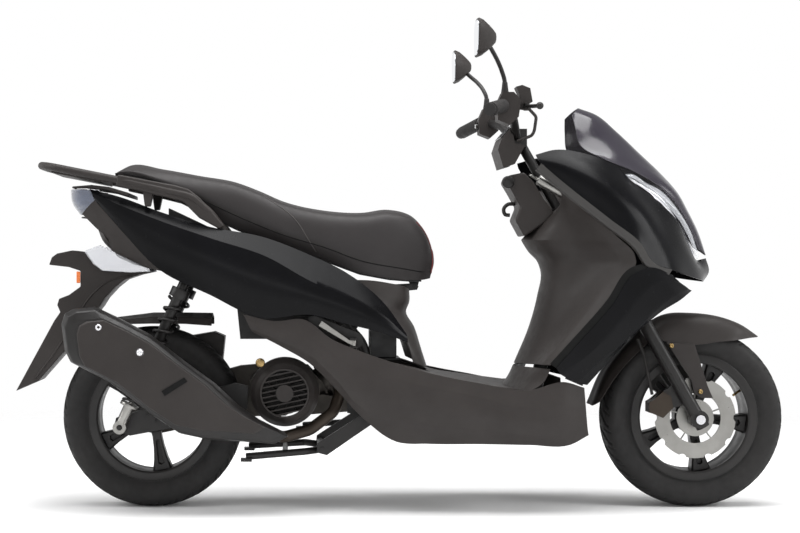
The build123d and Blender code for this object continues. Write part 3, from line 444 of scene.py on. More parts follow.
# ---------------------------------------------------------------- lower fairings and front fairing
lower_fairing_rows = [
    [(378, -226, 374), (391, -224, 357), (429, -205, 336), (462, -186, 329)],
    [(437, -232, 440), (463, -228, 412), (487, -206, 384), (507, -190, 380)],
    [(516, -236, 530), (542, -230, 495), (572, -208, 459), (587, -196, 464)],
    [(578, -234, 614), (608, -226, 577), (643, -200, 527), (648, -190, 514)],
    [(617, -226, 625), (645, -214, 597), (681, -188, 554), (701, -170, 543)],
    [(670, -204, 609), (696, -182, 589), (726, -150, 571), (738, -132, 566)],
]
pair("lower_fairing", lower_fairing_rows, (430, 0, 600), "black_gloss", "black_matte",
     nodes=["lower_covers"], sharp_cols=(1, 2))

fairing_rows = [
    [(335, -176, 908), (339, -184, 897), (346, -190, 886)],
    [(385, -165, 921), (405, -200, 878), (420, -212, 820)],
    [(464, -150, 912), (492, -206, 840), (513, -224, 745)],
    [(543, -137, 882), (562, -206, 790), (587, -230, 685)],
    [(583, -130, 846), (606, -200, 753), (620, -226, 637)],
    [(638, -113, 808), (661, -176, 703), (672, -205, 618)],
    [(716, -86, 739), (720, -130, 670), (726, -150, 603)],
    [(773, -46, 640), (775, -72, 618), (775, -84, 592)],
    [(806, 0, 648), (814, 0, 614), (799, 0, 588)],
]
fairing_back = [[(x, -y, z) for x, y, z in row] for row in reversed(fairing_rows[:-1])]
shell("front_fairing_shell", fairing_rows + fairing_back, (560, 0, 700), "black_gloss", "black_gloss",
      nodes=["front_fairing"], sharp_rows=(8,))
fairing_edge = [row[-1] for row in fairing_rows[:6]]
edge_rows = [
    [(x + 1, y - 1, z + 1), (x - 9, y + 1, z - 13), (x - 12, y + 12, z - 15)]
    for x, y, z in fairing_edge
]
pair("fairing_edge_strip", edge_rows, (480, 0, 700), "dark_strip", "black_gloss", nodes=["front_fairing"],
     thick=2)
# A near-black strip set into the gap along the lower fairing's rear edge: painted shade in the gap.
gap_edge = [row[0] for row in lower_fairing_rows[:5]]
gap_shade_rows = [[(x + 2, y + 2, z - 2), (x - 14, y + 4, z + 10)] for x, y, z in gap_edge]
pair("fairing_gap_shade_strip", gap_shade_rows, (430, 0, 600), "gap_black", "black_matte", nodes=["lower_covers"],
     thick=2)

# ---------------------------------------------------------------- windscreen
screen_rows = [
    [(446, -62, 1020), (460, -38, 1034), (470, 0, 1042)],
    [(450, -84, 985), (500, -50, 1012), (518, 0, 1024)],
    [(459, -105, 938), (535, -65, 965), (570, 0, 981)],
    [(520, -127, 899), (600, -78, 905), (632, 0, 922)],
    [(598, -121, 868), (660, -74, 862), (690, 0, 866)],
    [(669, -92, 829), (715, -60, 815), (728, 0, 822)],
    [(711, -74, 790), (745, -45, 772), (757, 0, 772)],
    [(743, -55, 746), (772, -35, 722), (785, 0, 716)],
    [(780, -24, 676), (795, -14, 666), (806, 0, 656)],
]
shell("screen", [across(r) for r in screen_rows], (480, 0, 800), "smoke_screen", "smoke_screen",
      nodes=["windscreen"], thick=2.5, steps=8)

# ---------------------------------------------------------------- headlights
lens_rows = [
    [(570, -127, 861), (574, -129, 859), (576, -131, 857)],
    [(589, -121, 862), (592, -127, 857), (594, -128, 850)],
    [(624, -111, 842), (634, -118, 829), (637, -113, 818)],
    [(667, -93, 822), (677, -101, 801), (680, -98, 787)],
    [(709, -76, 783), (717, -86, 763), (717, -83, 749)],
    [(739, -58, 740), (750, -68, 717), (748, -64, 702)],
    [(774, -30, 672), (778, -40, 655), (775, -42, 646)],
]
pair("headlight_lens", lens_rows, (560, 0, 700), "clear_lens", "clear_lens", nodes=["headlight_lenses"],
     thick=2)
bowl_rows = [
    [(x - 12 - 6 * math.sin(i * 1.7), y + 7, z) for x, y, z in row]
    for i, row in enumerate(lens_rows)
]
pair("headlight_bowl", bowl_rows, (500, 0, 700), "chrome", "chrome", nodes=["headlight_bowls"], thick=1.5)

# ---------------------------------------------------------------- leg shield and inner column
leg_rows = [
    [(366, -217, 379), (352, -196, 378), (338, -120, 376), (318, -60, 374), (306, 0, 372)],
    [(436, -221, 455), (418, -200, 456), (392, -125, 459), (360, -70, 462), (345, 0, 465)],
    [(503, -224, 536), (482, -202, 537), (440, -130, 541), (390, -75, 546), (368, 0, 550)],
    [(558, -224, 606), (532, -202, 606), (474, -135, 608), (404, -80, 612), (377, 0, 614)],
    [(580, -222, 634), (548, -200, 636), (482, -135, 640), (400, -82, 642), (366, 0, 644)],
    [(576, -219, 660), (542, -198, 662), (470, -135, 662), (385, -84, 664), (345, 0, 666)],
    [(538, -214, 700), (508, -194, 700), (440, -135, 698), (362, -85, 695), (325, 0, 697)],
    [(480, -208, 752), (462, -188, 750), (425, -140, 745), (385, -90, 738), (365, 0, 735)],
    [(419, -199, 805), (414, -178, 803), (412, -140, 797), (405, -95, 775), (408, 0, 772)],
    [(384, -188, 838), (388, -170, 836), (404, -140, 830), (440, -100, 815), (452, 0, 812)],
]
shell("leg_shield_cover", [across(r) for r in leg_rows], (600, 0, 700), "black_matte", "black_matte",
      nodes=["leg_shield"], sharp_rows=(6,), sharp_cols=(1, 7), steps=6)
COLUMN = [
    (282, 864), (322, 872), (346, 848), (372, 804), (400, 766), (378, 742), (322, 704), (298, 748),
    (312, 782), (290, 822), (274, 848),
]
prism("inner_column_cover", COLUMN, -62, 62, "black_matte", "chassis", ["leg_shield"], 6)
turned("column_knob", [(0.01, -12), (13, -12), (16, -9), (16, 0), (0.01, 0)], (279, -62, 846),
       "black_metal", "chassis", ["leg_shield"], 40, closed=False)
tube("luggage_hook", [(306, 0, 792), (286, 0, 790), (276, 0, 778), (280, 0, 764), (292, 0, 762)], 5,
     "black_metal", "black_matte", "chassis", ["leg_shield"])

# ---------------------------------------------------------------- floorboard and under-seat cover
floor_rows = [
    [(-25, -202, 383), (25, -176, 370), (66, -125, 356), (72, 0, 352)],
    [(62, -205, 351), (90, -176, 347), (100, -120, 345), (102, 0, 345)],
    [(190, -207, 329), (190, -176, 329), (190, -120, 329), (190, 0, 329)],
    [(318, -207, 312), (305, -176, 312), (292, -120, 312), (278, 0, 312)],
    [(350, -205, 333), (332, -176, 336), (314, -120, 338), (292, 0, 338)],
    [(368, -208, 369), (350, -176, 369), (334, -120, 368), (304, 0, 366)],
]
shell("floor_cover", [across(r) for r in floor_rows], (150, 0, -600), "black_matte", "black_matte",
      nodes=["floorboard"], sharp_rows=(3,), steps=5)

seat_front_rows = [
    [(-150, -146, 590), (-60, -138, 588), (5, -106, 576), (20, 0, 556)],
    [(-110, -156, 560), (-55, -146, 545), (6, -108, 540), (20, 0, 535)],
    [(-60, -160, 530), (-40, -148, 520), (0, -104, 514), (12, 0, 510)],
    [(-20, -164, 480), (-10, -150, 475), (22, -104, 470), (34, 0, 470)],
    [(6, -164, 440), (16, -150, 425), (44, -108, 409), (52, 0, 409)],
    [(26, -162, 382), (40, -140, 376), (56, -112, 370), (64, 0, 368)],
]
shell("seat_front_cover", [across(r) for r in seat_front_rows], (-150, 0, 500), "black_matte",
      "black_matte", nodes=["under_seat_cover"], steps=5)

# ---------------------------------------------------------------- front fender
fender_rows = [
    [(884, -60, 437), (912, -40, 440), (944, 0, 441)],
    [(860, -70, 434), (888, -50, 463), (900, 0, 470)],
    [(822, -73, 431), (843, -55, 480), (850, 0, 490)],
    [(768, -74, 424), (767, -58, 488), (767, 0, 502)],
    [(705, -74, 430), (700, -56, 482), (700, 0, 498)],
    [(650, -73, 432), (650, -56, 456), (650, 0, 470)],
    [(612, -71, 400), (601, -58, 412), (598, 0, 421)],
    [(562, -70, 345), (548, -58, 347), (542, 0, 350)],
    [(520, -60, 276), (509, -52, 268), (505, 0, 263)],
]
shell("fender_shell", [across(r) for r in fender_rows], (766, 0, 234), "black_matte", "black_matte", "fork",
      nodes=["front_fender"], steps=7)
for side in (-1, 1):
    tag = "right" if side < 0 else "left"
    brace = [(686, 432), (760, 426), (782, 357), (794, 318), (808, 286), (775, 287), (757, 300), (752, 330)]
    a, b = sorted((side * 80, side * 76))
    prism(f"fender_brace_{tag}", brace, a, b, "black_matte", "fork", ["front_fender"], 1.5)
    bolt(f"fender_bolt_upper_{tag}", (700, side * 80, 422), 5, 5, (0, side, 0), "brass", body="fork")
    bolt(f"fender_bolt_lower_{tag}", (775, side * 80, 303), 5, 5, (0, side, 0), "brass", body="fork")

# ---------------------------------------------------------------- rear lights
light_rows = [
    [(-792, -100, 822), (-790, -101, 800), (-772, -100, 772)],
    [(-826, -86, 826), (-822, -86, 795), (-804, -84, 765)],
    [(-852, -50, 828), (-848, -50, 795), (-828, -50, 764)],
    [(-862, 0, 829), (-858, 0, 795), (-838, 0, 764)],
]
light_rows += [[(x, -y, z) for x, y, z in row] for row in reversed(light_rows[:-1])]
shell("tail_lens", light_rows, (-700, 0, 790), "smoke_lens", "smoke_lens", nodes=["rear_lights"], thick=2.5)
lamp_rows = [[(x + 14, y * 0.93, z - 3 * (k - 1)) for k, (x, y, z) in enumerate(row)] for row in light_rows]
shell("tail_lamp_reflector", lamp_rows, (-700, 0, 790), "chrome", "smoke_lens", thick=1.5)
TURN_LENS = [
    (-816, 667), (-777, 682), (-744, 666), (-651, 622), (-649, 614), (-697, 612), (-769, 616), (-792, 634),
]
for side in (-1, 1):
    tag = "right" if side < 0 else "left"
    near, far = sorted((side * 98, side * 116))
    prism(f"rear_turn_lens_{tag}", TURN_LENS, near, far, "clear_lens", "chassis",
          ["rear_lights"], 5)
    near, far = sorted((side * 94, side * 99))
    prism(f"rear_turn_reflector_{tag}", [(x + 2, z) for x, z in TURN_LENS], near, far, "chrome",
          "chassis", ["rear_lights"], 1)
    near, far = sorted((side * 58, side * 62))
    prism(f"side_reflector_{tag}", [(-842, 584), (-832, 584), (-832, 614), (-842, 614)], near, far,
          "orange", "chassis", ["rear_lights"], 1.5)

# ---------------------------------------------------------------- tail covers and grab rail
tail_top = [
    [(-856, -44, 831), (-856, 44, 831), (-856, 44, 836), (-856, -44, 836)],
    [(-800, -88, 829), (-800, 88, 829), (-800, 88, 838), (-800, -88, 838)],
    [(-752, -104, 822), (-752, 104, 822), (-752, 104, 832), (-752, -104, 832)],
    [(-700, -118, 806), (-700, 118, 806), (-700, 118, 816), (-700, -118, 816)],
]
TAIL = ("black_matte", "black_matte", "chassis", ["tail_covers"])
lofted("tail_top_cover", tail_top, *TAIL, 3)
undertail_rows = [
    [(-828, -48, 757), (-834, -20, 757), (-836, 0, 757)],
    [(-790, -84, 752), (-802, -40, 752), (-804, 0, 752)],
    [(-752, -92, 690), (-768, -44, 690), (-772, 0, 690)],
    [(-712, -100, 660), (-722, -50, 655), (-724, 0, 655)],
    [(-640, -112, 632), (-640, -56, 622), (-640, 0, 622)],
]
shell("undertail_cover", [across(r) for r in undertail_rows], (-650, 0, 800), "black_matte", "black_matte",
      nodes=["tail_covers"])
undertail_sides = [
    [(-788, -104, 798), (-806, -96, 782), (-824, -80, 764)],
    [(-750, -115, 756), (-770, -102, 744), (-790, -84, 730)],
    [(-709, -122, 711), (-730, -106, 704), (-752, -90, 692)],
    [(-660, -131, 660), (-698, -112, 662), (-746, -94, 668)],
    [(-612, -138, 616), (-640, -118, 622), (-690, -100, 634)],
]
pair("undertail_side", undertail_sides, (-680, 0, 740), "black_matte", "black_matte", nodes=["tail_covers"],
     thick=2.5)
HOLDER = [
    (-914, 632), (-907, 651), (-893, 661), (-854, 669), (-816, 664), (-792, 640), (-769, 617), (-697, 614),
    (-640, 614), (-677, 606), (-716, 593), (-742, 572), (-768, 544), (-781, 523), (-869, 411), (-942, 328),
    (-1000, 303), (-901, 485), (-885, 508), (-893, 527), (-888, 543), (-862, 553), (-832, 575), (-832, 616),
    (-862, 626),
]
lofted("plate_holder", [at_y(shrunk(HOLDER, 0.985), -60), at_y(HOLDER, -54), at_y(HOLDER, 54),
                        at_y(shrunk(HOLDER, 0.985), 60)], *TAIL, 2)
RIDGE = [(-700, 604), (-760, 588), (-800, 556), (-850, 480), (-900, 402), (-950, 336)]
tube("plate_holder_ridge_right", [(x, -60, z) for x, z in RIDGE], 2.5, *TAIL)
tube("plate_holder_ridge_left", [(x, 60, z) for x, z in RIDGE], 2.5, *TAIL)
RAIL_CHEEK = [
    (-730, 832), (-655, 816), (-559, 792), (-517, 750), (-466, 722), (-452, 730), (-517, 803), (-545, 824),
    (-579, 834), (-724, 861),
]
RAIL_FOOT = [(-662, 824), (-634, 818), (-642, 780), (-656, 780)]
for side in (-1, 1):
    tag = "right" if side < 0 else "left"
    near, far = sorted((side * 143, side * 158))
    prism(f"grab_rail_cheek_{tag}", RAIL_CHEEK, near, far, "black_matte", "chassis", (), 5)
    near, far = sorted((side * 122, side * 152))
    prism(f"grab_rail_foot_{tag}", RAIL_FOOT, near, far, "black_matte", "chassis", (), 3)

# ---------------------------------------------------------------- seat
SEAT = [
    (-738, 92, 862, 868, 876), (-700, 116, 850, 872, 893), (-620, 126, 821, 850, 882),
    (-520, 130, 770, 815, 864), (-430, 132, 728, 790, 848), (-370, 138, 704, 760, 826),
    (-300, 146, 676, 730, 796), (-200, 150, 646, 706, 774), (-100, 146, 609, 690, 768),
    (-30, 130, 596, 680, 776), (30, 104, 592, 665, 760), (64, 82, 592, 650, 724), (88, 50, 596, 640, 668),
]


def seat_ring(x, half, low, waist, crown):
    lean = 10 if x > 20 else 0
    right = [(x - lean, 0, low), (x - lean, -half * 0.86, low), (x, -half, waist),
             (x, -half * 0.88, crown - 17), (x, -half * 0.5, crown - 4), (x, 0, crown)]
    return right + [(a, -b, c) for a, b, c in reversed(right[:-1])]


rings = woven([seat_ring(*s) for s in SEAT], 8, sharp_cols=(1, 9))
verts, faces = grid_mesh(rings)
wide = len(rings[0])
for ring_start in (0, (len(rings) - 1) * wide):
    faces.append(tuple(range(ring_start, ring_start + wide - 1)))
cushion = finish_mesh("seat_cushion_vinyl", verts, faces, "vinyl", "seat", ["seat_cushion"])
bm = bmesh.new()
bm.from_mesh(cushion.data)
bmesh.ops.remove_doubles(bm, verts=bm.verts, dist=0.0002)
bmesh.ops.recalc_face_normals(bm, faces=bm.faces)
bm.to_mesh(cushion.data)
bm.free()
bevel(cushion, 4, 3, 40)
SEAM = [(-352, 806), (-318, 784), (-286, 760), (-262, 732), (-246, 706), (-230, 680), (-220, 664)]
PIPING = [(40, 742), (62, 716), (78, 680), (84, 645), (80, 610)]
# A real welt line along the seat's lower side, drawn near-black as painted shade below the seat's edge.
WELT_SHADE = [
    (-715, 866), (-600, 838), (-500, 792), (-400, 746), (-300, 706), (-200, 676), (-100, 640), (0, 622),
    (60, 612),
]
for side in (-1, 1):
    tag = "right" if side < 0 else "left"
    laid_on(f"seat_seam_{tag}", cushion, SEAM, side, 1.3, "thread", "vinyl", "seat")
    laid_on(f"seat_piping_{tag}", cushion, PIPING, side, 2.2, "piping", "vinyl", "seat")
    laid_on(f"seat_welt_shade_{tag}", cushion, WELT_SHADE, side, 1.4, "gap_black", "vinyl", "seat", 10)

# ---------------------------------------------------------------- wheels
AXLE_Z = 234.0
TREADS = 30  # groove pitches round the tyre
GROOVE_DEPTH = 3.6
SHOULDER_DEPTH = 2.5


def tyre(name, x, body, node):
    """A tubeless road tyre with a two-way groove pattern, flattened where it stands."""
    outer = [
        (154, -44), (160, -47), (168, -46), (178, -52), (190, -57), (202, -59.5), (213, -58), (222, -52),
        (229, -42), (233.5, -29), (235.8, -15), (236.4, 0),
    ]
    run = spline([(0, t, r) for r, t in outer], 5)
    half = [(p.z, p.y) for p in run]
    profile = half + [(r, -t) for r, t in reversed(half[:-1])]
    inner = [(170, 36), (184, 46), (200, 50), (212, 47), (222, 32), (226, 0)]
    inner += [(r, -t) for r, t in reversed(inner[:-1])]
    around = 900
    verts, faces = [], []
    loop = profile + inner
    for k in range(around):
        a = 2 * math.pi * k / around
        for r, t in loop[:len(profile)]:
            depth = 0.0
            if r > 221 and abs(t) > 4:
                turn = a * TREADS / (2 * math.pi)
                pitch = (turn + abs(t) * 0.021 * (1 if t > 0 else -1) + (0.5 if t > 0 else 0)) % 1
                width = 0.13 if abs(t) < 40 else 0.09
                if abs(pitch - 0.5) < width and 8 < abs(t) < 50:
                    depth = GROOVE_DEPTH
                shoulder = (turn - abs(t) * 0.012 + 0.25) % 1
                if abs(shoulder - 0.5) < 0.06 and 30 < abs(t) < 54:
                    depth = max(depth, SHOULDER_DEPTH)
            if r > 233 and abs(t) < 3.2:
                depth = 2.8
            if 176 < r < 180:
                depth -= 0.8
            rr = r - depth
            z = AXLE_Z + rr * math.sin(a)
            bulge = 1 + 0.03 * max(0, -math.sin(a)) ** 24
            verts.append(Vector((x + rr * math.cos(a), t * bulge, max(0, z))) * MM)
        for r, t in inner:
            verts.append(Vector((x + r * math.cos(a), t, AXLE_Z + r * math.sin(a))) * MM)
    n = len(loop)
    for k in range(around):
        j = (k + 1) % around
        for i in range(n):
            m = (i + 1) % n
            faces.append((k * n + i, j * n + i, j * n + m, k * n + m))
    obj = finish_mesh(name, verts, faces, "tyre", body, [node])
    mend_normals(obj)
    obj.data.set_sharp_from_angle(angle=math.radians(38))
    return obj


FRONT_X, REAR_X = 766.0, -646.0
tyre("front_tyre_casing", FRONT_X, "front_wheel", "front_tyre")
tyre("rear_tyre_casing", REAR_X, "rear_wheel", "rear_tyre")


def ring_band(name, x, profile, mat, body, nodes=(), around=160):
    """A turned part of a wheel, centred on the axle."""
    return turned(name, profile, (x, 0, AXLE_Z), mat, body, nodes, around)


def spoke(name, x, turn, body, hub_y):
    """One wide spoke: a flat-topped arm with a long window and a raised rim round it."""
    c, s = math.cos(turn), math.sin(turn)
    side = [
        (30, -15), (52, -12), (80, -13.5), (112, -18), (143, -26), (143, 26), (112, 18), (80, 13.5),
        (52, 12), (30, 15),
    ]
    window = [(66, -4.5), (100, -6.5), (124, -7.5), (128, 0), (124, 7.5), (100, 6.5), (66, 4.5), (62, 0)]
    bm = bmesh.new()

    def place(r, t, y):
        return Vector((x + r * c - t * s, y, AXLE_Z + r * s + t * c)) * MM

    def depth(r):
        return hub_y + (24 - hub_y) * min(1, max(0, (r - 40) / 100))

    loops = {}
    for tag, pts, drop in (("out", side, 5), ("lip", [(r * 0.985 + 1.2, t * 0.8) for r, t in side], 0),
                           ("win", window, 1.5), ("deep", window, 14)):
        for sign in (-1, 1):
            loops[tag, sign] = [bm.verts.new(place(r, t, sign * (depth(r) - drop))) for r, t in pts]
    n = len(side)
    for sign in (-1, 1):
        for i in range(n):
            j = (i + 1) % n
            bm.faces.new([loops["out", sign][i], loops["out", sign][j], loops["lip", sign][j],
                          loops["lip", sign][i]])
        edges = []
        for ring in (loops["lip", sign], loops["win", sign]):
            for i in range(len(ring)):
                a, b = ring[i], ring[(i + 1) % len(ring)]
                edges.append(bm.edges.get((a, b)) or bm.edges.new((a, b)))
        bmesh.ops.triangle_fill(bm, edges=edges, use_beauty=True)
        m = len(window)
        for i in range(m):
            j = (i + 1) % m
            bm.faces.new([loops["win", sign][i], loops["win", sign][j], loops["deep", sign][j],
                          loops["deep", sign][i]])
        bm.faces.new(loops["deep", sign])
    for i in range(n):
        j = (i + 1) % n
        bm.faces.new([loops["out", -1][i], loops["out", -1][j], loops["out", 1][j], loops["out", 1][i]])
    bmesh.ops.recalc_face_normals(bm, faces=bm.faces)
    mesh = bpy.data.meshes.new(name)
    bm.to_mesh(mesh)
    bm.free()
    mesh.polygons.foreach_set("use_smooth", [True] * len(mesh.polygons))
    obj = bpy.data.objects.new(name, mesh)
    bpy.context.scene.collection.objects.link(obj)
    mesh.materials.append(M["black_metal"])
    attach(obj, body)
    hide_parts("front_rim" if body == "front_wheel" else "rear_rim")
    return bevel(obj, 1.4, 3, 24)


def rim(tag, x, body, hub_right, hub_left):
    """Barrel, hub, five spokes and the tyre valve."""
    barrel = [
        (141, -49), (146, -52), (162, -52), (165.5, -50.5), (165.5, -47), (160, -45.5), (155, -44),
        (152, -28), (152, 28), (155, 44), (160, 45.5), (165.5, 47), (165.5, 50.5), (162, 52), (146, 52),
        (141, 49), (143.5, 30), (142, 22), (142, -22), (143.5, -30),
    ]
    bevel(ring_band(f"{tag}_rim_barrel", x, barrel, "black_metal", body, [f"{tag}_rim"]), 0.8, 2, 25)
    hub = [
        (9, -hub_right), (24, -hub_right), (30, -hub_right + 3), (34, -26), (40, -21), (44, -18), (44, 18),
        (40, 21), (34, 26), (30, hub_left - 3), (24, hub_left), (9, hub_left),
    ]
    bevel(ring_band(f"{tag}_hub", x, hub, "black_metal", body, [f"{tag}_rim"], 96), 1.0, 2, 25)
    for k in range(5):
        spoke(f"{tag}_spoke_{k + 1}", x, math.radians(-8 + 72 * k), body, 19)
    valve = math.radians(28)
    c, s = math.cos(valve), math.sin(valve)
    tube(f"{tag}_valve", [(x + 143 * c, -20, AXLE_Z + 143 * s), (x + 131 * c, -26, AXLE_Z + 131 * s),
                          (x + 120 * c, -34, AXLE_Z + 120 * s)], 3.2, "brass", "steel", body)


rim("front", FRONT_X, "front_wheel", 56, 60)
rim("rear", REAR_X, "rear_wheel", 30, 46)

# ---------------------------------------------------------------- muffler
MUFFLER = [
    (-858, 483), (-850, 509), (-828, 521), (-777, 526), (-713, 496), (-638, 456), (-550, 388), (-475, 333),
    (-412, 275), (-357, 237), (-290, 203), (-324, 183), (-400, 189), (-488, 194), (-562, 210), (-638, 260),
    (-688, 300), (-738, 338), (-835, 388), (-850, 418),
]


lofted("muffler_body", [
    at_y(shrunk(MUFFLER, 0.86), -153), at_y(shrunk(MUFFLER, 0.97), -166), at_y(MUFFLER, -190),
    at_y(MUFFLER, -222),
    at_y(shrunk(MUFFLER, 0.955), -240), at_y(shrunk(MUFFLER, 0.84), -252)], "black_metal", "black_metal",
    "engine", ["muffler"], 4, 3, 20)
lofted("muffler_heat_shield", [at_y(shrunk(MUFFLER, 0.83), -252.5), at_y(shrunk(MUFFLER, 0.81), -257.5)],
       "black_matte", "black_matte", "engine", ["muffler"], 2)
for k, (x, y, z) in enumerate([(-761, -250, 476), (-658, -256, 414), (-405, -246, 243)]):
    bolt(f"muffler_bolt_{k + 1}", (x, y, z), 8, 9, (0, -1, 0), "chrome", "engine")
# A flat near-black plate on the heat shield where its slot is: painted shade in the slot.
slot_shade_outline = [(-604, 318), (-548, 352), (-540, 342), (-596, 306)]
prism("muffler_slot_shade", slot_shade_outline, -260, -257, "gap_black", "engine", ["muffler"], 0.5)
turned("oil_filler", [(0.01, -10), (9, -10), (12, -6), (12, 0), (0.01, 0)], (-362, -152, 382), "brass",
       "engine", (), 24, closed=False)

# ---------------------------------------------------------------- mirrors and instrument panel
MIRROR = [(-42, -30), (-30, -44), (36, -40), (62, 12), (52, 42), (-20, 45), (-46, 16)]


def mirror_ring(side, back, scale, count=5):
    """The rounded mirror outline at one depth."""
    n = len(MIRROR)
    ring = []
    for i in range(n):
        a, b, c, d = (Vector(MIRROR[(i + k) % n]) for k in (-1, 0, 1, 2))
        for k in range(count):
            t = k / count
            square, cube = 2 * a - 5 * b + 4 * c - d, 3 * b - a - 3 * c + d
            p = 0.5 * (2 * b + (c - a) * t + square * t ** 2 + cube * t ** 3)
            ring.append((188 + back, side * (-292 - p.x * scale), 1188 + p.y * scale))
    return ring


for side, tag in ((1, "right"), (-1, "left")):
    body, node = f"{tag}_mirror", f"mirror_{tag}"
    lofted(f"mirror_shell_{tag}", [mirror_ring(side, b, k) for b, k in (
        (-15, 0.93), (-16, 0.97), (-13, 1.0), (-2, 0.90), (12, 0.66), (24, 0.42), (31, 0.25), (33, 0.12))],
        "black_matte", "black_matte", body, [node], 0.6, 2, 40)
    lofted(f"mirror_glass_{tag}", [mirror_ring(side, -15.5, 0.90), mirror_ring(side, -17, 0.89)], "mirror",
           "black_matte", body, [node], 0.4, 2, 40)
    stem = [(254, -200, 1070), (253, -201, 1094), (245, -212, 1116), (232, -236, 1138), (216, -266, 1158),
            (203, -286, 1174)]
    tube(f"mirror_stem_{tag}", [(x, side * y, z) for x, y, z in stem], 5.5, "black_metal", "black_matte",
         body, [node])
    tube(f"mirror_boot_{tag}", [(254, side * -200, 1063), (254, side * -200, 1074),
                                (254, side * -200, 1090)], 10,
         "rubber", "black_matte", body, [node], 4, 24, taper=lambda t: 1 - 0.35 * t)
prism("meter_glass", [(287, 991), (261, 961), (259.5, 962.5), (285.5, 992.5)], -62, 62, "dial",
      "steering", (), 0.5)

# ---------------------------------------------------------------- carried-over nodes
LOOKS = {
    "front_axle": ("chrome", 0.8), "brake_disc": ("steel", 0.3), "fork_sliders": ("black_metal", 1.2),
    "brake_caliper": ("bronze", 2.0), "front_brake_hose": ("rubber", 0),
    "steering_stem": ("black_metal", 1.2),
    "handlebar": ("black_metal", 0.8), "throttle_grip": ("rubber", 1.5), "left_grip": ("rubber", 1.5),
    "bar_controls": ("black_matte", 3.0), "brake_lever_right": ("black_metal", 0),
    "brake_lever_left": ("black_metal", 0),
    "starter_button": ("red_lens", 0.8), "horn_button": ("black_matte", 0.8),
    "turn_switch": ("white_mark", 0.8), "instrument_cluster": ("black_matte", 3),
    "ignition_lock": ("steel", 0.8), "ignition_key": ("steel", 0.5), "belly_pan": ("black_matte", 0.6),
    "grab_rail": ("black_matte", 1.2), "frame": ("black_metal", 0.6),
    "storage_bucket": ("bucket", 0.8), "fuel_tank": ("black_metal", 4), "battery": ("battery", 2),
    "footpeg_right": ("steel", 1), "footpeg_left": ("steel", 1), "seat_base": ("bucket", 1),
    "engine_case": ("cast", 2.0), "cvt_cover": ("black_metal", 3.0), "cooling_fan": ("black_matte", 0.4),
    "fan_cover": ("black_matte", 0.8), "exhaust_pipe": ("bronze", 0), "swing_arm": ("black_metal", 1.5),
    "air_box_and_hugger": ("black_matte", 2.0), "kick_starter": ("black_metal", 1.5),
    "shock_bodies": ("black_metal", 0.8),
    "shock_rods": ("steel", 0.6), "shock_springs": ("black_metal", 0), "centre_stand": ("black_metal", 1.0),
    "side_stand": ("black_metal", 1.0),
}
for node, (look, width) in LOOKS.items():
    obj = NODES[node]
    obj.data.materials.clear()
    obj.data.materials.append(M[look])
    if width:
        bevel(obj, width, 2, 35, weld=True)


# ---------------------------------------------------------------- room, light and camera
def plain(name, color, rough):
    mat, tree, bsdf = new_material(name)
    bsdf.inputs["Base Color"].default_value = (*color, 1)
    bsdf.inputs["Roughness"].default_value = rough
    bsdf.inputs["Specular IOR Level"].default_value = 0.1
    return mat


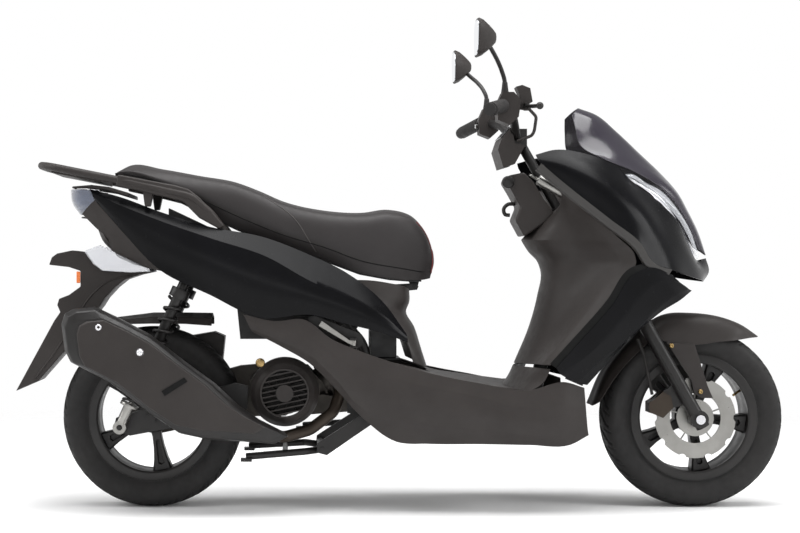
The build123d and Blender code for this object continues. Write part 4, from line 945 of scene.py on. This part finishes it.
def floor():
    """A round pale floor that fades out into the white surround."""
    rings, around = 24, 96
    radius = 3.4
    fade_from, fade_to = 1.3, 3.2
    verts = [(0.0, 0.0, 0.0)]
    for i in range(1, rings + 1):
        for k in range(around):
            a = 2 * math.pi * k / around
            verts.append((radius * i / rings * math.cos(a), radius * i / rings * math.sin(a), 0.0))
    faces = [(0, 1 + k, 1 + (k + 1) % around) for k in range(around)]
    for i in range(rings - 1):
        for k in range(around):
            j = (k + 1) % around
            low, high = 1 + i * around, 1 + (i + 1) * around
            faces.append((low + k, high + k, high + j, low + j))
    mesh = bpy.data.meshes.new("floor")
    mesh.from_pydata(verts, [], faces)
    obj = bpy.data.objects.new("floor", mesh)
    bpy.context.scene.collection.objects.link(obj)
    mat = plain("pale_paper", (0.93, 0.93, 0.93), 0.8)
    tree = mat.node_tree
    coord = tree.nodes.new("ShaderNodeTexCoord")
    length = tree.nodes.new("ShaderNodeVectorMath")
    length.operation = "LENGTH"
    tree.links.new(coord.outputs["Object"], length.inputs[0])
    fade = ranged(tree, length.outputs["Value"], 1.0, 0.0, fade_from, fade_to)
    tree.links.new(fade, tree.nodes["Principled BSDF"].inputs["Alpha"])
    mesh.materials.append(mat)
    return obj


def softbox(name, place, target, size, power):
    """A rectangular area light aimed at a point."""
    light = bpy.data.lights.new(name, "AREA")
    light.shape = "RECTANGLE"
    light.size, light.size_y = size
    light.energy = power
    obj = bpy.data.objects.new(name, light)
    obj.location = place
    obj.rotation_euler = (Vector(target) - Vector(place)).to_track_quat("-Z", "Y").to_euler()
    bpy.context.scene.collection.objects.link(obj)
    return obj


stage = [
    floor(),
    softbox("top_box", (0.0, -0.4, 3.6), (0, 0, 0.5), (4.5, 2.6), 210),
    softbox("front_box", (4.2, -1.6, 2.4), (0.3, 0, 0.6), (2.2, 2.2), 90),
    softbox("back_box", (-4.2, -0.6, 2.6), (-0.3, 0, 0.6), (2.2, 2.2), 70),
    softbox("low_fill", (-0.5, -5.5, 1.6), (0, 0, 0.4), (5.0, 0.8), 16),
]

world = bpy.data.worlds.new("room")
bpy.context.scene.world = world
world.use_nodes = True
tree = world.node_tree
back = tree.nodes["Background"]
coord = tree.nodes.new("ShaderNodeTexCoord")
split = tree.nodes.new("ShaderNodeSeparateXYZ")
tree.links.new(coord.outputs["Generated"], split.inputs["Vector"])
shade = ranged(tree, split.outputs["Z"], 1.0, 0.30, 0.17, 0.45)
tree.links.new(shade, back.inputs["Strength"])
back.inputs["Color"].default_value = (1, 1, 1, 1)

CAMERA_PLACE = (-0.261, -4.3, 0.627)
FOCAL_LENGTH = 73.4
SENSOR_WIDTH = 36
SIDE_SHIFT = 0.125  # brings the whole scooter into the frame

camera = bpy.data.cameras.new("camera")
camera.lens = FOCAL_LENGTH
camera.sensor_width = SENSOR_WIDTH
camera.shift_x = SIDE_SHIFT
camera.clip_end = 60
view = bpy.data.objects.new("camera", camera)
view.location = CAMERA_PLACE
view.rotation_euler = (math.pi / 2, 0, 0)
bpy.context.scene.collection.objects.link(view)
bpy.context.scene.camera = view

scene = bpy.context.scene
scene.render.engine = "CYCLES"
scene.view_settings.view_transform = "Standard"
scene.view_settings.exposure = 0.0
